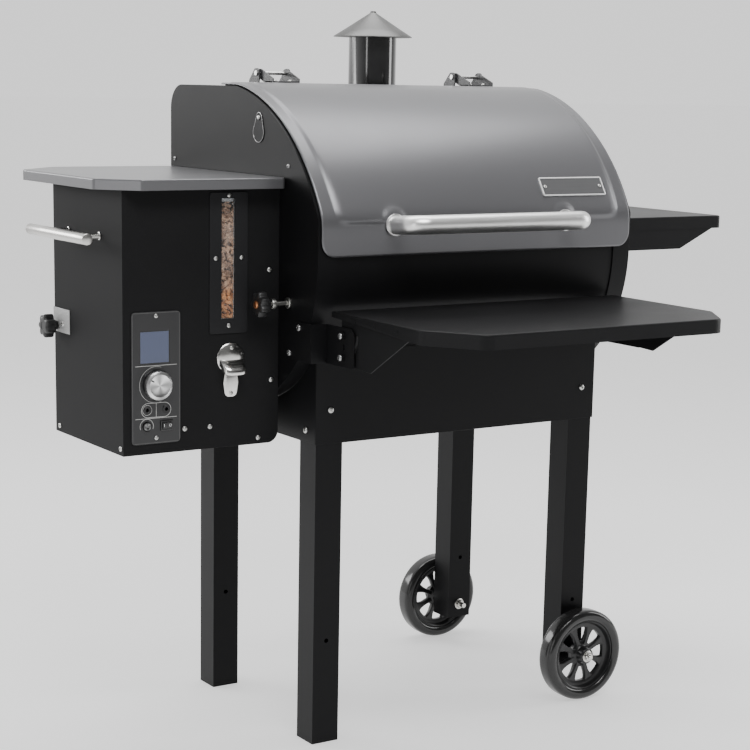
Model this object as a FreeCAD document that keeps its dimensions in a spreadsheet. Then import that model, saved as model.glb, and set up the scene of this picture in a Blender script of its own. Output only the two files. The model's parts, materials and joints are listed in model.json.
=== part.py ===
import FreeCAD, Part
import math
import os
import Sketcher

# Pellet smoker grill, built as separate pieces in one frame.
# Millimetres.  +X towards the wheels, -Y the cook's side, +Z up, floor at Z = 0.

V = FreeCAD.Vector
doc = FreeCAD.newDocument("pellet_grill")
sheet = doc.addObject("Spreadsheet::Sheet", "dims")

# name, value, meaning
DIMENSIONS = [
    ("origin_x", 21.375, "shift of the barrel's middle to the object's middle"),
    ("origin_y", 100.0, "shift of the barrel's middle to the object's middle"),
    ("seat", 0.3, "gap between pieces that sit on each other"),
    ("run_fit", 0.05, "radial clearance of a pin in its hole"),
    ("cap_x", 334.0, "half width over the end caps"),
    ("skin", 2.0, "end cap and skirt sheet"),
    ("thin", 1.5, "barrel, lid and hopper sheet"),
    ("rim", 38.0, "depth of the end cap's rim"),
    ("drum_y", 4.0, "drum centre"),
    ("drum_z", 857.0, "drum centre"),
    ("drum_rad", 266.0, "drum radius over the rims"),
    ("top_z", 1139.0, "flat top of the barrel"),
    ("heel_rad", 43.0, "rear top corner"),
    ("arch_rad", 375.0, "arch radius of the end cap"),
    ("arch_crop", 4.0, "height that the flat top takes off the arch"),
    ("arch_over", 34.0, "depth that the upright front takes off the arch"),
    ("lip_z", 885.0, "upper edge of the barrel's front"),
    ("deck_y", 62.0, "front edge of the fixed top"),
    ("lid_gap", 3.5, "lid clear of the rims"),
    ("lid_x", 329.0, "half width of the lid"),
    ("lid_low", 864.0, "lower edge of the lid"),
    ("lid_back", 84.0, "rear edge of the lid"),
    ("field_up", 1.5, "raised field pressed into the lid"),
    ("field_x", 308.0, "half width of the raised field"),
    ("field_drop", 12.0, "lower crease of the raised field, under the bend of the front"),
    ("grip_x", 216.0, "half length of the lid handle"),
    ("grip_rad", 17.0, "lid handle tube"),
    ("pin_y", 100.0, "lid hinge pin"),
    ("pin_up", 23.0, "lid hinge pin above the flat top"),
    ("pin_rad", 3.0, "hinge pins"),
    ("hinge_x", 215.0, "middle of each lid hinge"),
    ("leg_w", 53.0, "square leg tube"),
    ("leg_wall", 2.0, "leg tube wall"),
    ("leg_x", 302.0, "outer face of the legs"),
    ("leg_y", 210.6, "outer face of the legs"),
    ("leg_top", 636.0, "top of the legs"),
    ("leg_cut", 60.0, "bottom of the wheel side legs"),
    ("skirt_low", 539.0, "lower edge of the skirt"),
    ("wheel_rad", 87.5, "wheel radius"),
    ("wheel_w", 44.0, "wheel width"),
    ("wheel_gap", 7.0, "washer between wheel and leg"),
    ("axle_rad", 5.0, "axle bolt"),
    ("pot_rad", 55.0, "fire pot"),
    ("pot_h", 124.0, "height of the fire pot"),
    ("auger_z", 640.0, "auger axis"),
    ("shaft_rad", 6.0, "auger shaft"),
    ("flight_rad", 21.0, "auger flight"),
    ("pitch", 44.0, "auger pitch"),
    ("feed_len", 520.0, "length of the auger's flight"),
    ("tube_rad", 25.0, "auger tube"),
    ("grate_z", 849.0, "cooking grate rod centres"),
    ("rack_z", 984.0, "warming rack rod centres"),
    ("tray_z", 786.0, "drip tray underside"),
    ("slide_y", -168.0, "flame slide rod"),
    ("slide_z", 780.0, "flame slide rod"),
    ("hop_l", -628.0, "hopper left wall"),
    ("hop_f", -136.0, "hopper front wall"),
    ("hop_b", 240.0, "hopper rear wall"),
    ("hop_low", 535.0, "hopper floor"),
    ("hop_cut", 138.0, "start of the hopper's rear bevel"),
    ("hop_back_l", -530.0, "end of the hopper's rear bevel"),
    ("cover_z", 990.0, "top of the hopper lid"),
    ("cover_h", 18.0, "hopper lid flange"),
    ("cover_l", -664.0, "hopper lid left edge"),
    ("cover_f", -163.0, "hopper lid front edge"),
    ("cover_b", 267.0, "hopper lid rear edge"),
    ("bar_rad", 8.0, "hopper handle bar"),
    ("port_y", -64.0, "pivot of the port cover"),
    ("hpin_out", 11.0, "hopper lid hinge pin behind the rear wall"),
    ("hpin_down", 24.0, "hopper lid hinge pin under the lid's top"),
    ("knob_x", -568.5, "control knob"),
    ("knob_z", 651.8, "control knob"),
    ("shelf_x", 304.0, "half width of the front shelf"),
    ("shelf_f", -613.0, "front edge of the front shelf"),
    ("shelf_b", -258.0, "rear edge of the front shelf"),
    ("shelf_z", 774.0, "top of the front shelf"),
    ("shelf_h", 24.0, "shelf flange"),
    ("fold_y", -300.0, "front shelf pivot"),
    ("fold_z", 738.0, "front shelf pivot"),
    ("fold_rad", 36.0, "from the pivot to the guide bolt"),
    ("arm_x", 307.0, "outer face of the shelf arms"),
    ("side_x", 640.0, "outer edge of the side shelf"),
    ("side_f", -179.0, "front edge of the side shelf"),
    ("side_b", 181.0, "rear edge of the side shelf"),
    ("side_z", 907.0, "top of the side shelf"),
    ("flue_x", 150.0, "chimney axis"),
    ("flue_out", 64.0, "chimney axis behind the rear wall"),
    ("flue_z", 1040.0, "chimney elbow"),
    ("flue_rad", 48.0, "chimney pipe"),
    ("flue_top", 1238.0, "top of the pipe"),
    ("hat_rad", 79.0, "chimney hat"),
    ("hat_h", 48.0, "chimney hat's cone"),
]


class Size:
    """A number that remembers the sheet expression it comes from."""

    def __init__(self, value, text):
        self.v, self.s = float(value), text

    def __add__(self, o): return Size(self.v + num(o), "(%s + %s)" % (self.s, txt(o)))
    def __radd__(self, o): return Size(num(o) + self.v, "(%s + %s)" % (txt(o), self.s))
    def __sub__(self, o): return Size(self.v - num(o), "(%s - %s)" % (self.s, txt(o)))
    def __rsub__(self, o): return Size(num(o) - self.v, "(%s - %s)" % (txt(o), self.s))
    def __mul__(self, o): return Size(self.v * num(o), "(%s * %s)" % (self.s, txt(o)))
    def __rmul__(self, o): return Size(num(o) * self.v, "(%s * %s)" % (txt(o), self.s))
    def __truediv__(self, o): return Size(self.v / num(o), "(%s / %s)" % (self.s, txt(o)))
    def __neg__(self): return Size(-self.v, "(0 - %s)" % self.s)


def num(x):
    return x.v if isinstance(x, Size) else float(x)


def txt(x):
    return x.s if isinstance(x, Size) else "(%r)" % float(x)


def root(x):
    return Size(math.sqrt(num(x)), "sqrt(%s)" % txt(x))


D = {}
for row, (name, value, meaning) in enumerate(DIMENSIONS, 1):
    sheet.set("A%d" % row, meaning)
    sheet.set("B%d" % row, repr(value))
    sheet.setAlias("B%d" % row, name)
    D[name] = Size(value, "dims." + name)
doc.recompute()


# ---------------------------------------------------------------- building tools
NODES = []


def bind(obj, prop, x):
    """Set a property, and tie it to the sheet when it depends on the sheet."""
    if isinstance(x, Size):
        obj.setExpression(prop, x.s)
    elif "." in prop:
        obj.setExpression(prop, txt(x))
    else:
        setattr(obj, prop, num(x))


def node(obj, label, at=(0, 0, 0)):
    """Name a finished sub-part and put it in the object's frame."""
    obj.Label = label
    bind(obj, ".Placement.Base.x", D["origin_x"] + at[0])
    bind(obj, ".Placement.Base.y", D["origin_y"] + at[1])
    if at[2] != 0:
        bind(obj, ".Placement.Base.z", at[2])
    NODES.append(obj)
    return obj


def arc_edge(p, q, rad, side):
    """Short arc from p to q; side +1 puts its centre left of the way p to q."""
    d = q - p
    rise = math.sqrt(max(rad * rad - d.Length ** 2 / 4, 0))
    c = (p + q) * 0.5 + V(-d.y, d.x, 0).normalize() * (side * rise)
    a, b = (p, q) if side > 0 else (q, p)
    ang = [math.atan2(e.y - c.y, e.x - c.x) for e in (a, b)]
    if ang[1] < ang[0]:
        ang[1] += 2 * math.pi
    return Part.ArcOfCircle(Part.Circle(c, V(0, 0, 1), rad), ang[0], ang[1])


def draw(sk, pts):
    """Closed outline; a point may carry (radius, side) for the edge that leaves it."""
    n, ends = len(pts), []
    flat = [V(num(p[0]), num(p[1]), 0) for p in pts]
    for i, p in enumerate(pts):
        a, b = flat[i], flat[(i + 1) % n]
        if len(p) > 2:
            rad, side = p[2]
            g = sk.addGeometry(arc_edge(a, b, num(rad), side), False)
            ends.append((g, 1, 2) if side > 0 else (g, 2, 1))
            k = sk.addConstraint(Sketcher.Constraint("Radius", g, num(rad)))
            bind(sk, "Constraints[%d]" % k, Size(num(rad), txt(rad)))
        else:
            g = sk.addGeometry(Part.LineSegment(a, b), False)
            ends.append((g, 1, 2))
    for i, p in enumerate(pts):
        g, start, _ = ends[i]
        last, _, stop = ends[i - 1]
        sk.addConstraint(Sketcher.Constraint("Coincident", last, stop, g, start))
        for kind, x in (("DistanceX", p[0]), ("DistanceY", p[1])):
            k = sk.addConstraint(Sketcher.Constraint(kind, g, start, num(x)))
            if isinstance(x, Size):
                bind(sk, "Constraints[%d]" % k, x)


def ring(sk, x, y, rad):
    """Circle at x, y."""
    g = sk.addGeometry(Part.Circle(V(num(x), num(y), 0), V(0, 0, 1), num(rad)), False)
    for kind, val in (("DistanceX", x), ("DistanceY", y)):
        k = sk.addConstraint(Sketcher.Constraint(kind, g, 3, num(val)))
        if isinstance(val, Size):
            bind(sk, "Constraints[%d]" % k, val)
    k = sk.addConstraint(Sketcher.Constraint("Radius", g, num(rad)))
    if isinstance(rad, Size):
        bind(sk, "Constraints[%d]" % k, rad)


def sketch(body, plane, level, loops, shift=(0, 0)):
    """Sketch on an origin plane, lifted to a level along the plane's normal."""
    sk = body.newObject("Sketcher::SketchObject", "sketch")
    base = [o for o in body.Origin.OriginFeatures if o.Role == plane + "_Plane"][0]
    sk.AttachmentSupport = [(base, "")]
    sk.MapMode = "FlatFace"
    sk.AttachmentOffset = FreeCAD.Placement(V(num(shift[0]), num(shift[1]), num(level)),
                                            FreeCAD.Rotation())
    for axis, x in zip("xyz", (shift[0], shift[1], level)):
        if isinstance(x, Size):
            bind(sk, ".AttachmentOffset.Base." + axis, x)
    for loop in loops:
        if len(loop) == 3 and not isinstance(loop[0], tuple):
            ring(sk, *loop)
        else:
            draw(sk, loop)
    return sk


def new_body():
    return doc.addObject("PartDesign::Body", "piece")


def pad(body, plane, lo, hi, loops):
    """Add material between two levels of X (plane YZ), Y (XZ) or Z (XY)."""
    sk = sketch(body, plane, -1 * hi if plane == "XZ" else lo, loops)
    f = body.newObject("PartDesign::Pad", "pad")
    f.Profile = sk
    bind(f, "Length", hi - lo)
    return f


def slab(plane, lo, hi, loops):
    body = new_body()
    pad(body, plane, lo, hi, loops)
    return body


def cut(body, plane, lo, hi, loops):
    """Remove material between two levels; the volume shows that it did."""
    doc.recompute()
    before = body.Shape.Volume
    sk = sketch(body, plane, -1 * lo if plane == "XZ" else hi, loops)
    f = body.newObject("PartDesign::Pocket", "pocket")
    f.Profile = sk
    bind(f, "Length", hi - lo)
    doc.recompute()
    if not body.Shape.Volume < before - 1e-6:
        raise ValueError("a pocket cut nothing in " + body.Name)
    return f


def turned(along, at, pts):
    """Turned body: pts are (way along the axis, radius)."""
    body = new_body()
    if along == "z":
        sk = sketch(body, "XZ", -1 * at[1], [[(r, a) for a, r in pts]], (at[0], at[2]))
        axis = "V_Axis"
    elif along == "x":
        sk = sketch(body, "XZ", -1 * at[1], [pts], (at[0], at[2]))
        axis = "H_Axis"
    else:
        sk = sketch(body, "YZ", at[0], [pts], (at[1], at[2]))
        axis = "H_Axis"
    f = body.newObject("PartDesign::Revolution", "turn")
    f.Profile = sk
    f.ReferenceAxis = (sk, [axis])
    f.Angle = 360
    return body


def round_edges(body, rad, test):
    """Fillet the edges of the body's tip that the test picks."""
    doc.recompute()
    last = body.Tip
    names = ["Edge%d" % (i + 1) for i, e in enumerate(last.Shape.Edges) if test(e)]
    if not names:
        raise ValueError("no edge to round in " + body.Name)
    f = body.newObject("PartDesign::Fillet", "fillet")
    f.Base = (last, names)
    bind(f, "Radius", rad)
    return f


def hollow(body, wall, test):
    """Turn the solid into sheet by opening the faces that the test picks."""
    doc.recompute()
    last = body.Tip
    names = ["Face%d" % (i + 1) for i, s in enumerate(last.Shape.Faces) if test(s)]
    f = body.newObject("PartDesign::Thickness", "wall")
    f.Base = (last, names)
    bind(f, "Value", wall)
    f.Reversed = True
    f.Mode = 0
    f.Join = 0
    return f


def near(a, b):
    return abs(num(a) - num(b)) < 0.1


def upright(edge):
    return abs(edge.tangentAt(edge.FirstParameter).z) > 0.9


def rect(x0, x1, y0, y1):
    return [(x0, y0), (x1, y0), (x1, y1), (x0, y1)]


def soft_rect(x0, x1, y0, y1, r):
    """Rectangle with rounded corners, drawn anticlockwise."""
    c = (r, 1)
    return [(x0 + r, y0), (x1 - r, y0, c), (x1, y0 + r), (x1, y1 - r, c),
            (x1 - r, y1), (x0 + r, y1, c), (x0, y1 - r), (x0, y0 + r, c)]


TURN = {"x": FreeCAD.Rotation(V(0, 1, 0), 90), "y": FreeCAD.Rotation(V(1, 0, 0), -90),
        "z": FreeCAD.Rotation()}


def rod(along, at, rad, length):
    """Round bar that starts at a point and runs along +X, +Y or +Z."""
    c = doc.addObject("Part::Cylinder", "rod")
    c.Placement = FreeCAD.Placement(V(*[num(a) for a in at]), TURN[along])
    for axis, x in zip("xyz", at):
        if isinstance(x, Size):
            bind(c, ".Placement.Base." + axis, x)
    bind(c, "Radius", rad)
    bind(c, "Height", length)
    return c


def block(x0, x1, y0, y1, z0, z1):
    b = doc.addObject("Part::Box", "block")
    b.Placement.Base = V(num(x0), num(y0), num(z0))
    for axis, x in zip("xyz", (x0, y0, z0)):
        if isinstance(x, Size):
            bind(b, ".Placement.Base." + axis, x)
    bind(b, "Length", x1 - x0)
    bind(b, "Width", y1 - y0)
    bind(b, "Height", z1 - z0)
    return b


def fuse(parts):
    f = doc.addObject("Part::MultiFuse", "joined")
    f.Shapes = parts
    return f


def carve(base, tool):
    c = doc.addObject("Part::Cut", "carved")
    c.Base, c.Tool = base, tool
    return c


def together(parts):
    c = doc.addObject("Part::Compound", "group")
    c.Links = parts
    return c


# ---------------------------------------------------------------- shared lines
seat, thin, skin = D["seat"], D["thin"], D["skin"]
front_y = D["drum_y"] - D["drum_rad"]
rear_y = D["drum_y"] + D["drum_rad"]
arch_y = front_y + D["arch_rad"] - D["arch_over"]
arch_z = D["top_z"] + D["arch_crop"] - D["arch_rad"]
inner_x = D["cap_x"] - skin


def arch_top(grow):
    """Y where the arch, grown outwards, meets the flat top."""
    rad, up = D["arch_rad"] + grow, D["top_z"] + grow - arch_z
    return arch_y - root(rad * rad - up * up)


def arch_front(grow):
    """Z where the arch, grown outwards, meets the upright front."""
    rad, out = D["arch_rad"] + grow, arch_y - front_y + grow
    return arch_z + root(rad * rad - out * out)


def cap_outline(inset):
    """Side profile of the barrel, anticlockwise seen from +X."""
    drum, heel = (D["drum_rad"] - inset, 1), (D["heel_rad"] - inset, 1)
    return [(front_y + inset, D["drum_z"], drum), (D["drum_y"], D["drum_z"] - D["drum_rad"] + inset, drum),
            (rear_y - inset, D["drum_z"]), (rear_y - inset, D["top_z"] - D["heel_rad"], heel),
            (rear_y - D["heel_rad"], D["top_z"] - inset),
            (arch_top(-1 * inset), D["top_z"] - inset, (D["arch_rad"] - inset, 1)),
            (front_y + inset, arch_front(-1 * inset))]


def arch_band(inner, outer, y_back, z_low):
    """Strip that follows the arch from the flat top to the front's lower edge."""
    out, inn = (D["arch_rad"] + outer, 1), (D["arch_rad"] + inner, -1)
    return [(y_back, D["top_z"] + outer), (arch_top(outer), D["top_z"] + outer, out),
            (front_y - outer, arch_front(outer)), (front_y - outer, z_low),
            (front_y - inner, z_low), (front_y - inner, arch_front(inner), inn),
            (arch_top(inner), D["top_z"] + inner), (y_back, D["top_z"] + inner)]


# ---------------------------------------------------------------- legs and skirt
def leg(x0, x1, y0, y1, low):
    """Square tube with a cross hole for a lower shelf."""
    w = D["leg_wall"]
    body = slab("XY", low, D["leg_top"], [rect(x0, x1, y0, y1), rect(x0 + w, x1 - w, y0 + w, y1 - w)])
    cut(body, "XZ", y0 - 1, y1 + 1, [((x0 + x1) / 2, 187.0, 4.0)])
    return body


def legs():
    w, x, y = D["leg_w"], D["leg_x"], D["leg_y"]
    node(leg(-1 * x, w - x, -1 * y, w - y, 0.0), "leg_front_left")
    node(leg(-1 * x, w - x, y - w, y, 0.0), "leg_rear_left")
    for label, y0, y1 in (("leg_front_right", -1 * y, w - y), ("leg_rear_right", y - w, y)):
        body = leg(x - w, x, y0, y1, D["leg_cut"])
        cut(body, "XZ", y0 - 1, y1 + 1, [(x - w / 2, D["wheel_rad"], D["axle_rad"] + D["run_fit"])])
        node(body, label)


def drum_under(rad, y):
    """Height of the drum's underside at a given Y."""
    off = y - D["drum_y"]
    return D["drum_z"] - root(rad * rad - off * off)


def skirt():
    """Box of four sheets that carries the drum and holds the legs."""
    sx, sy = D["leg_x"] + seat + skin, D["leg_y"] + seat + skin
    low, rad = D["skirt_low"], D["drum_rad"] + seat
    top = drum_under(rad, -1 * D["leg_y"] - seat) - seat
    fx, fy = D["leg_x"] - D["leg_w"] - 3, D["leg_y"] - D["leg_w"] - 3
    body = slab("XZ", -1 * sy, skin - sy, [rect(-1 * sx, sx, low, top)])
    pad(body, "XY", low, low + skin, [rect(-1 * fx, fx, skin - sy - 0.5, 14 - sy)])
    node(body, "skirt_front")
    rear_top = drum_under(rad, D["leg_y"] + seat) - seat
    body = slab("XZ", sy - skin, sy, [rect(-1 * sx, sx, low, rear_top)])
    pad(body, "XY", low, low + skin, [rect(-1 * fx, fx, sy - 14, sy - skin + 0.5)])
    node(body, "skirt_rear")
    y = D["leg_y"]
    side = [(-1 * y, low), (y, low), (y, drum_under(rad, y), (rad, -1)),
            (D["drum_y"], D["drum_z"] - rad, (rad, -1)), (-1 * y, drum_under(rad, -1 * y))]
    for label, x0, x1, flange in (("skirt_left", -1 * sx, skin - sx, (skin - sx - 0.5, 14 - sx)),
                                  ("skirt_right", sx - skin, sx, (sx - 14, sx - skin + 0.5))):
        body = slab("YZ", x0, x1, [side])
        pad(body, "XY", low, low + skin, [rect(flange[0], flange[1], -1 * fy, fy)])
        node(body, label)


# ---------------------------------------------------------------- barrel
def ledge(body, z, y0, y1, left):
    """Shelf strip folded off the inside of an end cap."""
    x0, x1 = (-1 * inner_x - 0.5, 18 - inner_x) if left else (inner_x - 18, inner_x + 0.5)
    pad(body, "XY", z, z + 1.5, [rect(x0, x1, y0, y1)])


def end_caps():
    """Formed end pans with a deep rim; ledges carry the tray and the grates."""
    cx, rim = D["cap_x"], D["rim"]
    for label, lo, hi, left in (("end_cap_left", -1 * cx, rim - cx, True),
                                ("end_cap_right", cx - rim, cx, False)):
        body = slab("YZ", lo, hi, [cap_outline(0.0)])
        cut(body, "YZ", lo + skin if left else lo, hi if left else hi - skin, [cap_outline(skin)])
        ledge(body, D["tray_z"] - seat - 1.5, -225.0, 232.0, left)
        ledge(body, D["grate_z"] - 3.5 - seat - 1.5, -230.0, 236.0, left)
        ledge(body, D["rack_z"] - 3.5 - seat - 1.5, 40.0, 235.0, left)
        if left:
            cut(body, "YZ", lo - 1, lo + skin + 1,
                [(D["drum_y"], D["auger_z"], D["tube_rad"] + seat),
                 (D["slide_y"], D["slide_z"], 4 + D["run_fit"]),
                 (D["port_y"] + 2, D["cover_z"] + 73, 10.0), (D["port_y"], D["cover_z"] + 96.5, 2.0)])
        node(body, label)


def barrel_shell():
    """Wrapped sheet: front lip, drum, rear wall and the fixed part of the top."""
    a, b = skin + seat, skin + seat + thin
    drum_a, drum_b = D["drum_rad"] - a, D["drum_rad"] - b
    heel_a, heel_b = D["heel_rad"] - a, D["heel_rad"] - b
    path = [(front_y + a, D["lip_z"]), (front_y + a, D["drum_z"], (drum_a, 1)),
            (D["drum_y"], D["drum_z"] - drum_a, (drum_a, 1)), (rear_y - a, D["drum_z"]),
            (rear_y - a, D["top_z"] - D["heel_rad"], (heel_a, 1)), (rear_y - D["heel_rad"], D["top_z"] - a),
            (D["deck_y"], D["top_z"] - a), (D["deck_y"], D["top_z"] - b),
            (rear_y - D["heel_rad"], D["top_z"] - b, (heel_b, -1)), (rear_y - b, D["top_z"] - D["heel_rad"]),
            (rear_y - b, D["drum_z"], (drum_b, -1)), (D["drum_y"], D["drum_z"] - drum_b, (drum_b, -1)),
            (front_y + b, D["drum_z"]), (front_y + b, D["lip_z"])]
    half = inner_x - seat
    body = slab("YZ", -1 * half, half, [path])
    cut(body, "XY", D["drum_z"] - D["drum_rad"], D["drum_z"] - D["drum_rad"] + 20,
        [(0.0, D["drum_y"], D["pot_rad"] + seat)])
    cut(body, "XZ", rear_y - 8, rear_y + 1, [(D["flue_x"], D["flue_z"], D["flue_rad"] - 2)])
    node(body, "barrel_shell")


def lid():
    """Rolled lid sheet, blank badge, tube handle and the moving hinge ears."""
    g, lx = D["lid_gap"], D["lid_x"]
    body = slab("YZ", -1 * lx, lx, [arch_band(g, g + thin, D["lid_back"], D["lid_low"])])
    round_edges(body, 26.0, lambda e: near(e.CenterOfMass.z, D["lid_low"]) and near(abs(e.CenterOfMass.x), lx))
    top, up = g + thin, D["field_up"]
    pad(body, "YZ", -1 * D["field_x"], D["field_x"],
        [arch_band(top - 0.3, top + up, D["lid_back"] - 1, arch_front(0) - D["field_drop"])])
    node(body, "lid_shell")
    out = front_y - top - up
    tube_y, tube_z = out - 36.5, arch_front(0) - 10
    gx, gr = D["grip_x"], D["grip_rad"]
    bar = turned("x", (0.0, tube_y, tube_z),
                 [(-1 * gx, 0.0), (gx, 0.0), (gx, gr - 10, (10.0, 1)), (gx - 10, gr),
                  (10 - gx, gr, (10.0, 1)), (-1 * gx, gr - 10)])
    posts = []
    for side in (-1, 1):
        x = side * (gx - 43)
        posts.append(rod("y", (x, tube_y + 8, tube_z), 8.0, out - seat - (tube_y + 8)))
        posts.append(rod("y", (x, out - seat - 4, tube_z), 15.0, 4.0))
    node(fuse([bar] + posts), "lid_handle")
    badge = slab("XZ", -1.0, 1.0, [soft_rect(-71.0, 71.0, -19.0, 19.0, 3.0)])
    pad(badge, "XZ", -2.2, 0.0,
        [soft_rect(-71.0, 71.0, -19.0, 19.0, 3.0), soft_rect(-68.0, 68.0, -16.0, 16.0, 2.0)])
    doc.recompute()
    rise = math.atan2(num(arch_y) + 243, 971 - num(arch_z))
    reach = num(D["arch_rad"] + top + up + seat) + 1.6
    badge.Placement.Rotation = FreeCAD.Rotation(V(1, 0, 0), math.degrees(rise) - 90)
    node(badge, "lid_plate", (208.0, arch_y - reach * math.sin(rise), arch_z + reach * math.cos(rise)))


def lid_hinges():
    """Two hinges: fixed ears and pin on the deck, moving ears on the lid."""
    y, z, rad = D["pin_y"], D["top_z"] + D["pin_up"], D["pin_rad"]
    deck, lid_top = D["top_z"] - skin, D["top_z"] + D["lid_gap"] + thin + D["field_up"] + seat
    fixed, moving = [], []
    for side in (-1, 1):
        mid = side * D["hinge_x"]
        foot = slab("XY", deck, deck + 2.5, [rect(mid - 44, mid + 44, y - 4, y + 42)])
        for off in (-44.0, 41.5):
            pad(foot, "YZ", mid + off, mid + off + 2.5,
                [[(y - 10, deck + 14), (y - 4, deck), (y + 42, deck), (y + 42, deck + 12),
                  (y + 6, z + 8), (y - 6, z + 8)], (y, z, rad)])
        fixed += [foot, rod("x", (mid - 47, y, z), rad, 94.0)]
        ear = slab("XY", lid_top, lid_top + 2.5, [rect(mid - 38, mid + 38, y - 66, y - 18)])
        for off in (-38.0, 35.5):
            pad(ear, "YZ", mid + off, mid + off + 2.5,
                [[(y - 66, lid_top), (y - 18, lid_top), (y + 7, z - 5), (y + 7, z + 5), (y + 2, z + 8),
                  (y - 6, z + 8), (y - 66, lid_top + 6)], (y, z, rad + D["run_fit"])])
        moving.append(ear)
    node(together(fixed), "lid_hinge_base")
    node(together(moving), "lid_hinge_ears")


def gasket():
    """Rope seals on the two rims, under the edges of the lid."""
    strips = []
    for x0 in (9 - D["cap_x"], D["cap_x"] - 23):
        band = arch_band(seat, D["lid_gap"] - seat, D["deck_y"], D["lip_z"])
        strips.append(slab("YZ", x0, x0 + 14, [band]))
    node(together(strips), "lid_gasket")


def grates():
    """Wire grates: a frame of bar with cross rods welded under it."""
    half = inner_x - 4
    for label, z, y0, y1, step in (("cooking_grate", D["grate_z"], -226.0, 234.0, 24.0),
                                   ("warming_rack", D["rack_z"], 44.0, 230.0, 36.0)):
        bars = [rod("x", (-1 * half, y, z), 3.5, 2 * half) for y in (y0, y1)]
        count = int((num(half) - 10) / step)
        for i in range(-count, count + 1):
            bars.append(rod("y", (i * step, y0, z), 2.4, y1 - y0))
        bars += [rod("y", (s * (half - 3.5), y0, z), 3.5, y1 - y0) for s in (-1, 1)]
        node(fuse(bars), label)


def fire_box():
    """Fire pot, drip tray, flame slide and the ash cup under the drum."""
    x1 = inner_x - seat
    z = D["tray_z"]
    body = slab("XY", z, z + thin, [rect(-1 * x1, x1, -222.0, 230.0), rect(-52.0, 52.0, -46.0, 54.0)])
    for y in (-222.0, 228.5):
        pad(body, "XY", z + thin - 0.5, z + 12, [rect(-1 * x1 + 20, x1 - 20, y, y + 1.5)])
    node(body, "drip_tray")
    yc, pr = D["drum_y"], D["pot_rad"]
    low = D["auger_z"] - 64
    high = low + D["pot_h"]
    pot = turned("z", (0.0, yc, 0.0), [(low, pr - 3), (low, pr), (high, pr), (high, pr - 3)])
    cut(pot, "YZ", -1 * pr - 5, -20.0, [(yc, D["auger_z"], D["tube_rad"] - 3)])
    heater = rod("x", (-1 * pr - 60, yc, D["auger_z"] - 34), 5.0, 64.0)
    node(fuse([pot, heater]), "fire_pot")
    floor, rim = low - 56, low - seat
    cup = turned("z", (0.0, yc, 0.0),
                 [(floor, 0.0), (floor, pr - 1), (rim, pr - 1), (rim, pr - 3), (floor + 2, pr - 3),
                  (floor + 2, 0.0)])
    pad(cup, "XY", floor + 20, floor + 28, [rect(-12.0, 12.0, yc - pr - 26, yc - pr + 2)])
    node(cup, "ash_cup")


def flame_slide():
    """Plate over the fire pot on a rod that comes out through the left cap."""
    y, z = D["slide_y"], D["slide_z"]
    plate = slab("XY", D["tray_z"] - seat - thin, D["tray_z"] - seat, [rect(-60.0, 60.0, y - 10, 62.0)])
    node(fuse([rod("x", (-396.0, y, z), 4.0, 450.0), plate]), "flame_slide")
    star = new_body()
    lobes = []
    n = 14
    for i in range(n):
        a = math.pi * 2 * i / n
        r = 22.0 if i % 2 == 0 else 17.0
        lobes.append((y + r * math.cos(a), z + r * math.sin(a)))
    pad(star, "YZ", -397.0, -379.0, [lobes, (y, z, 4.0)])
    pad(star, "YZ", -379.5, -371.0, [(y, z, 8.0), (y, z, 4.0)])
    node(star, "slide_knob")


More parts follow.
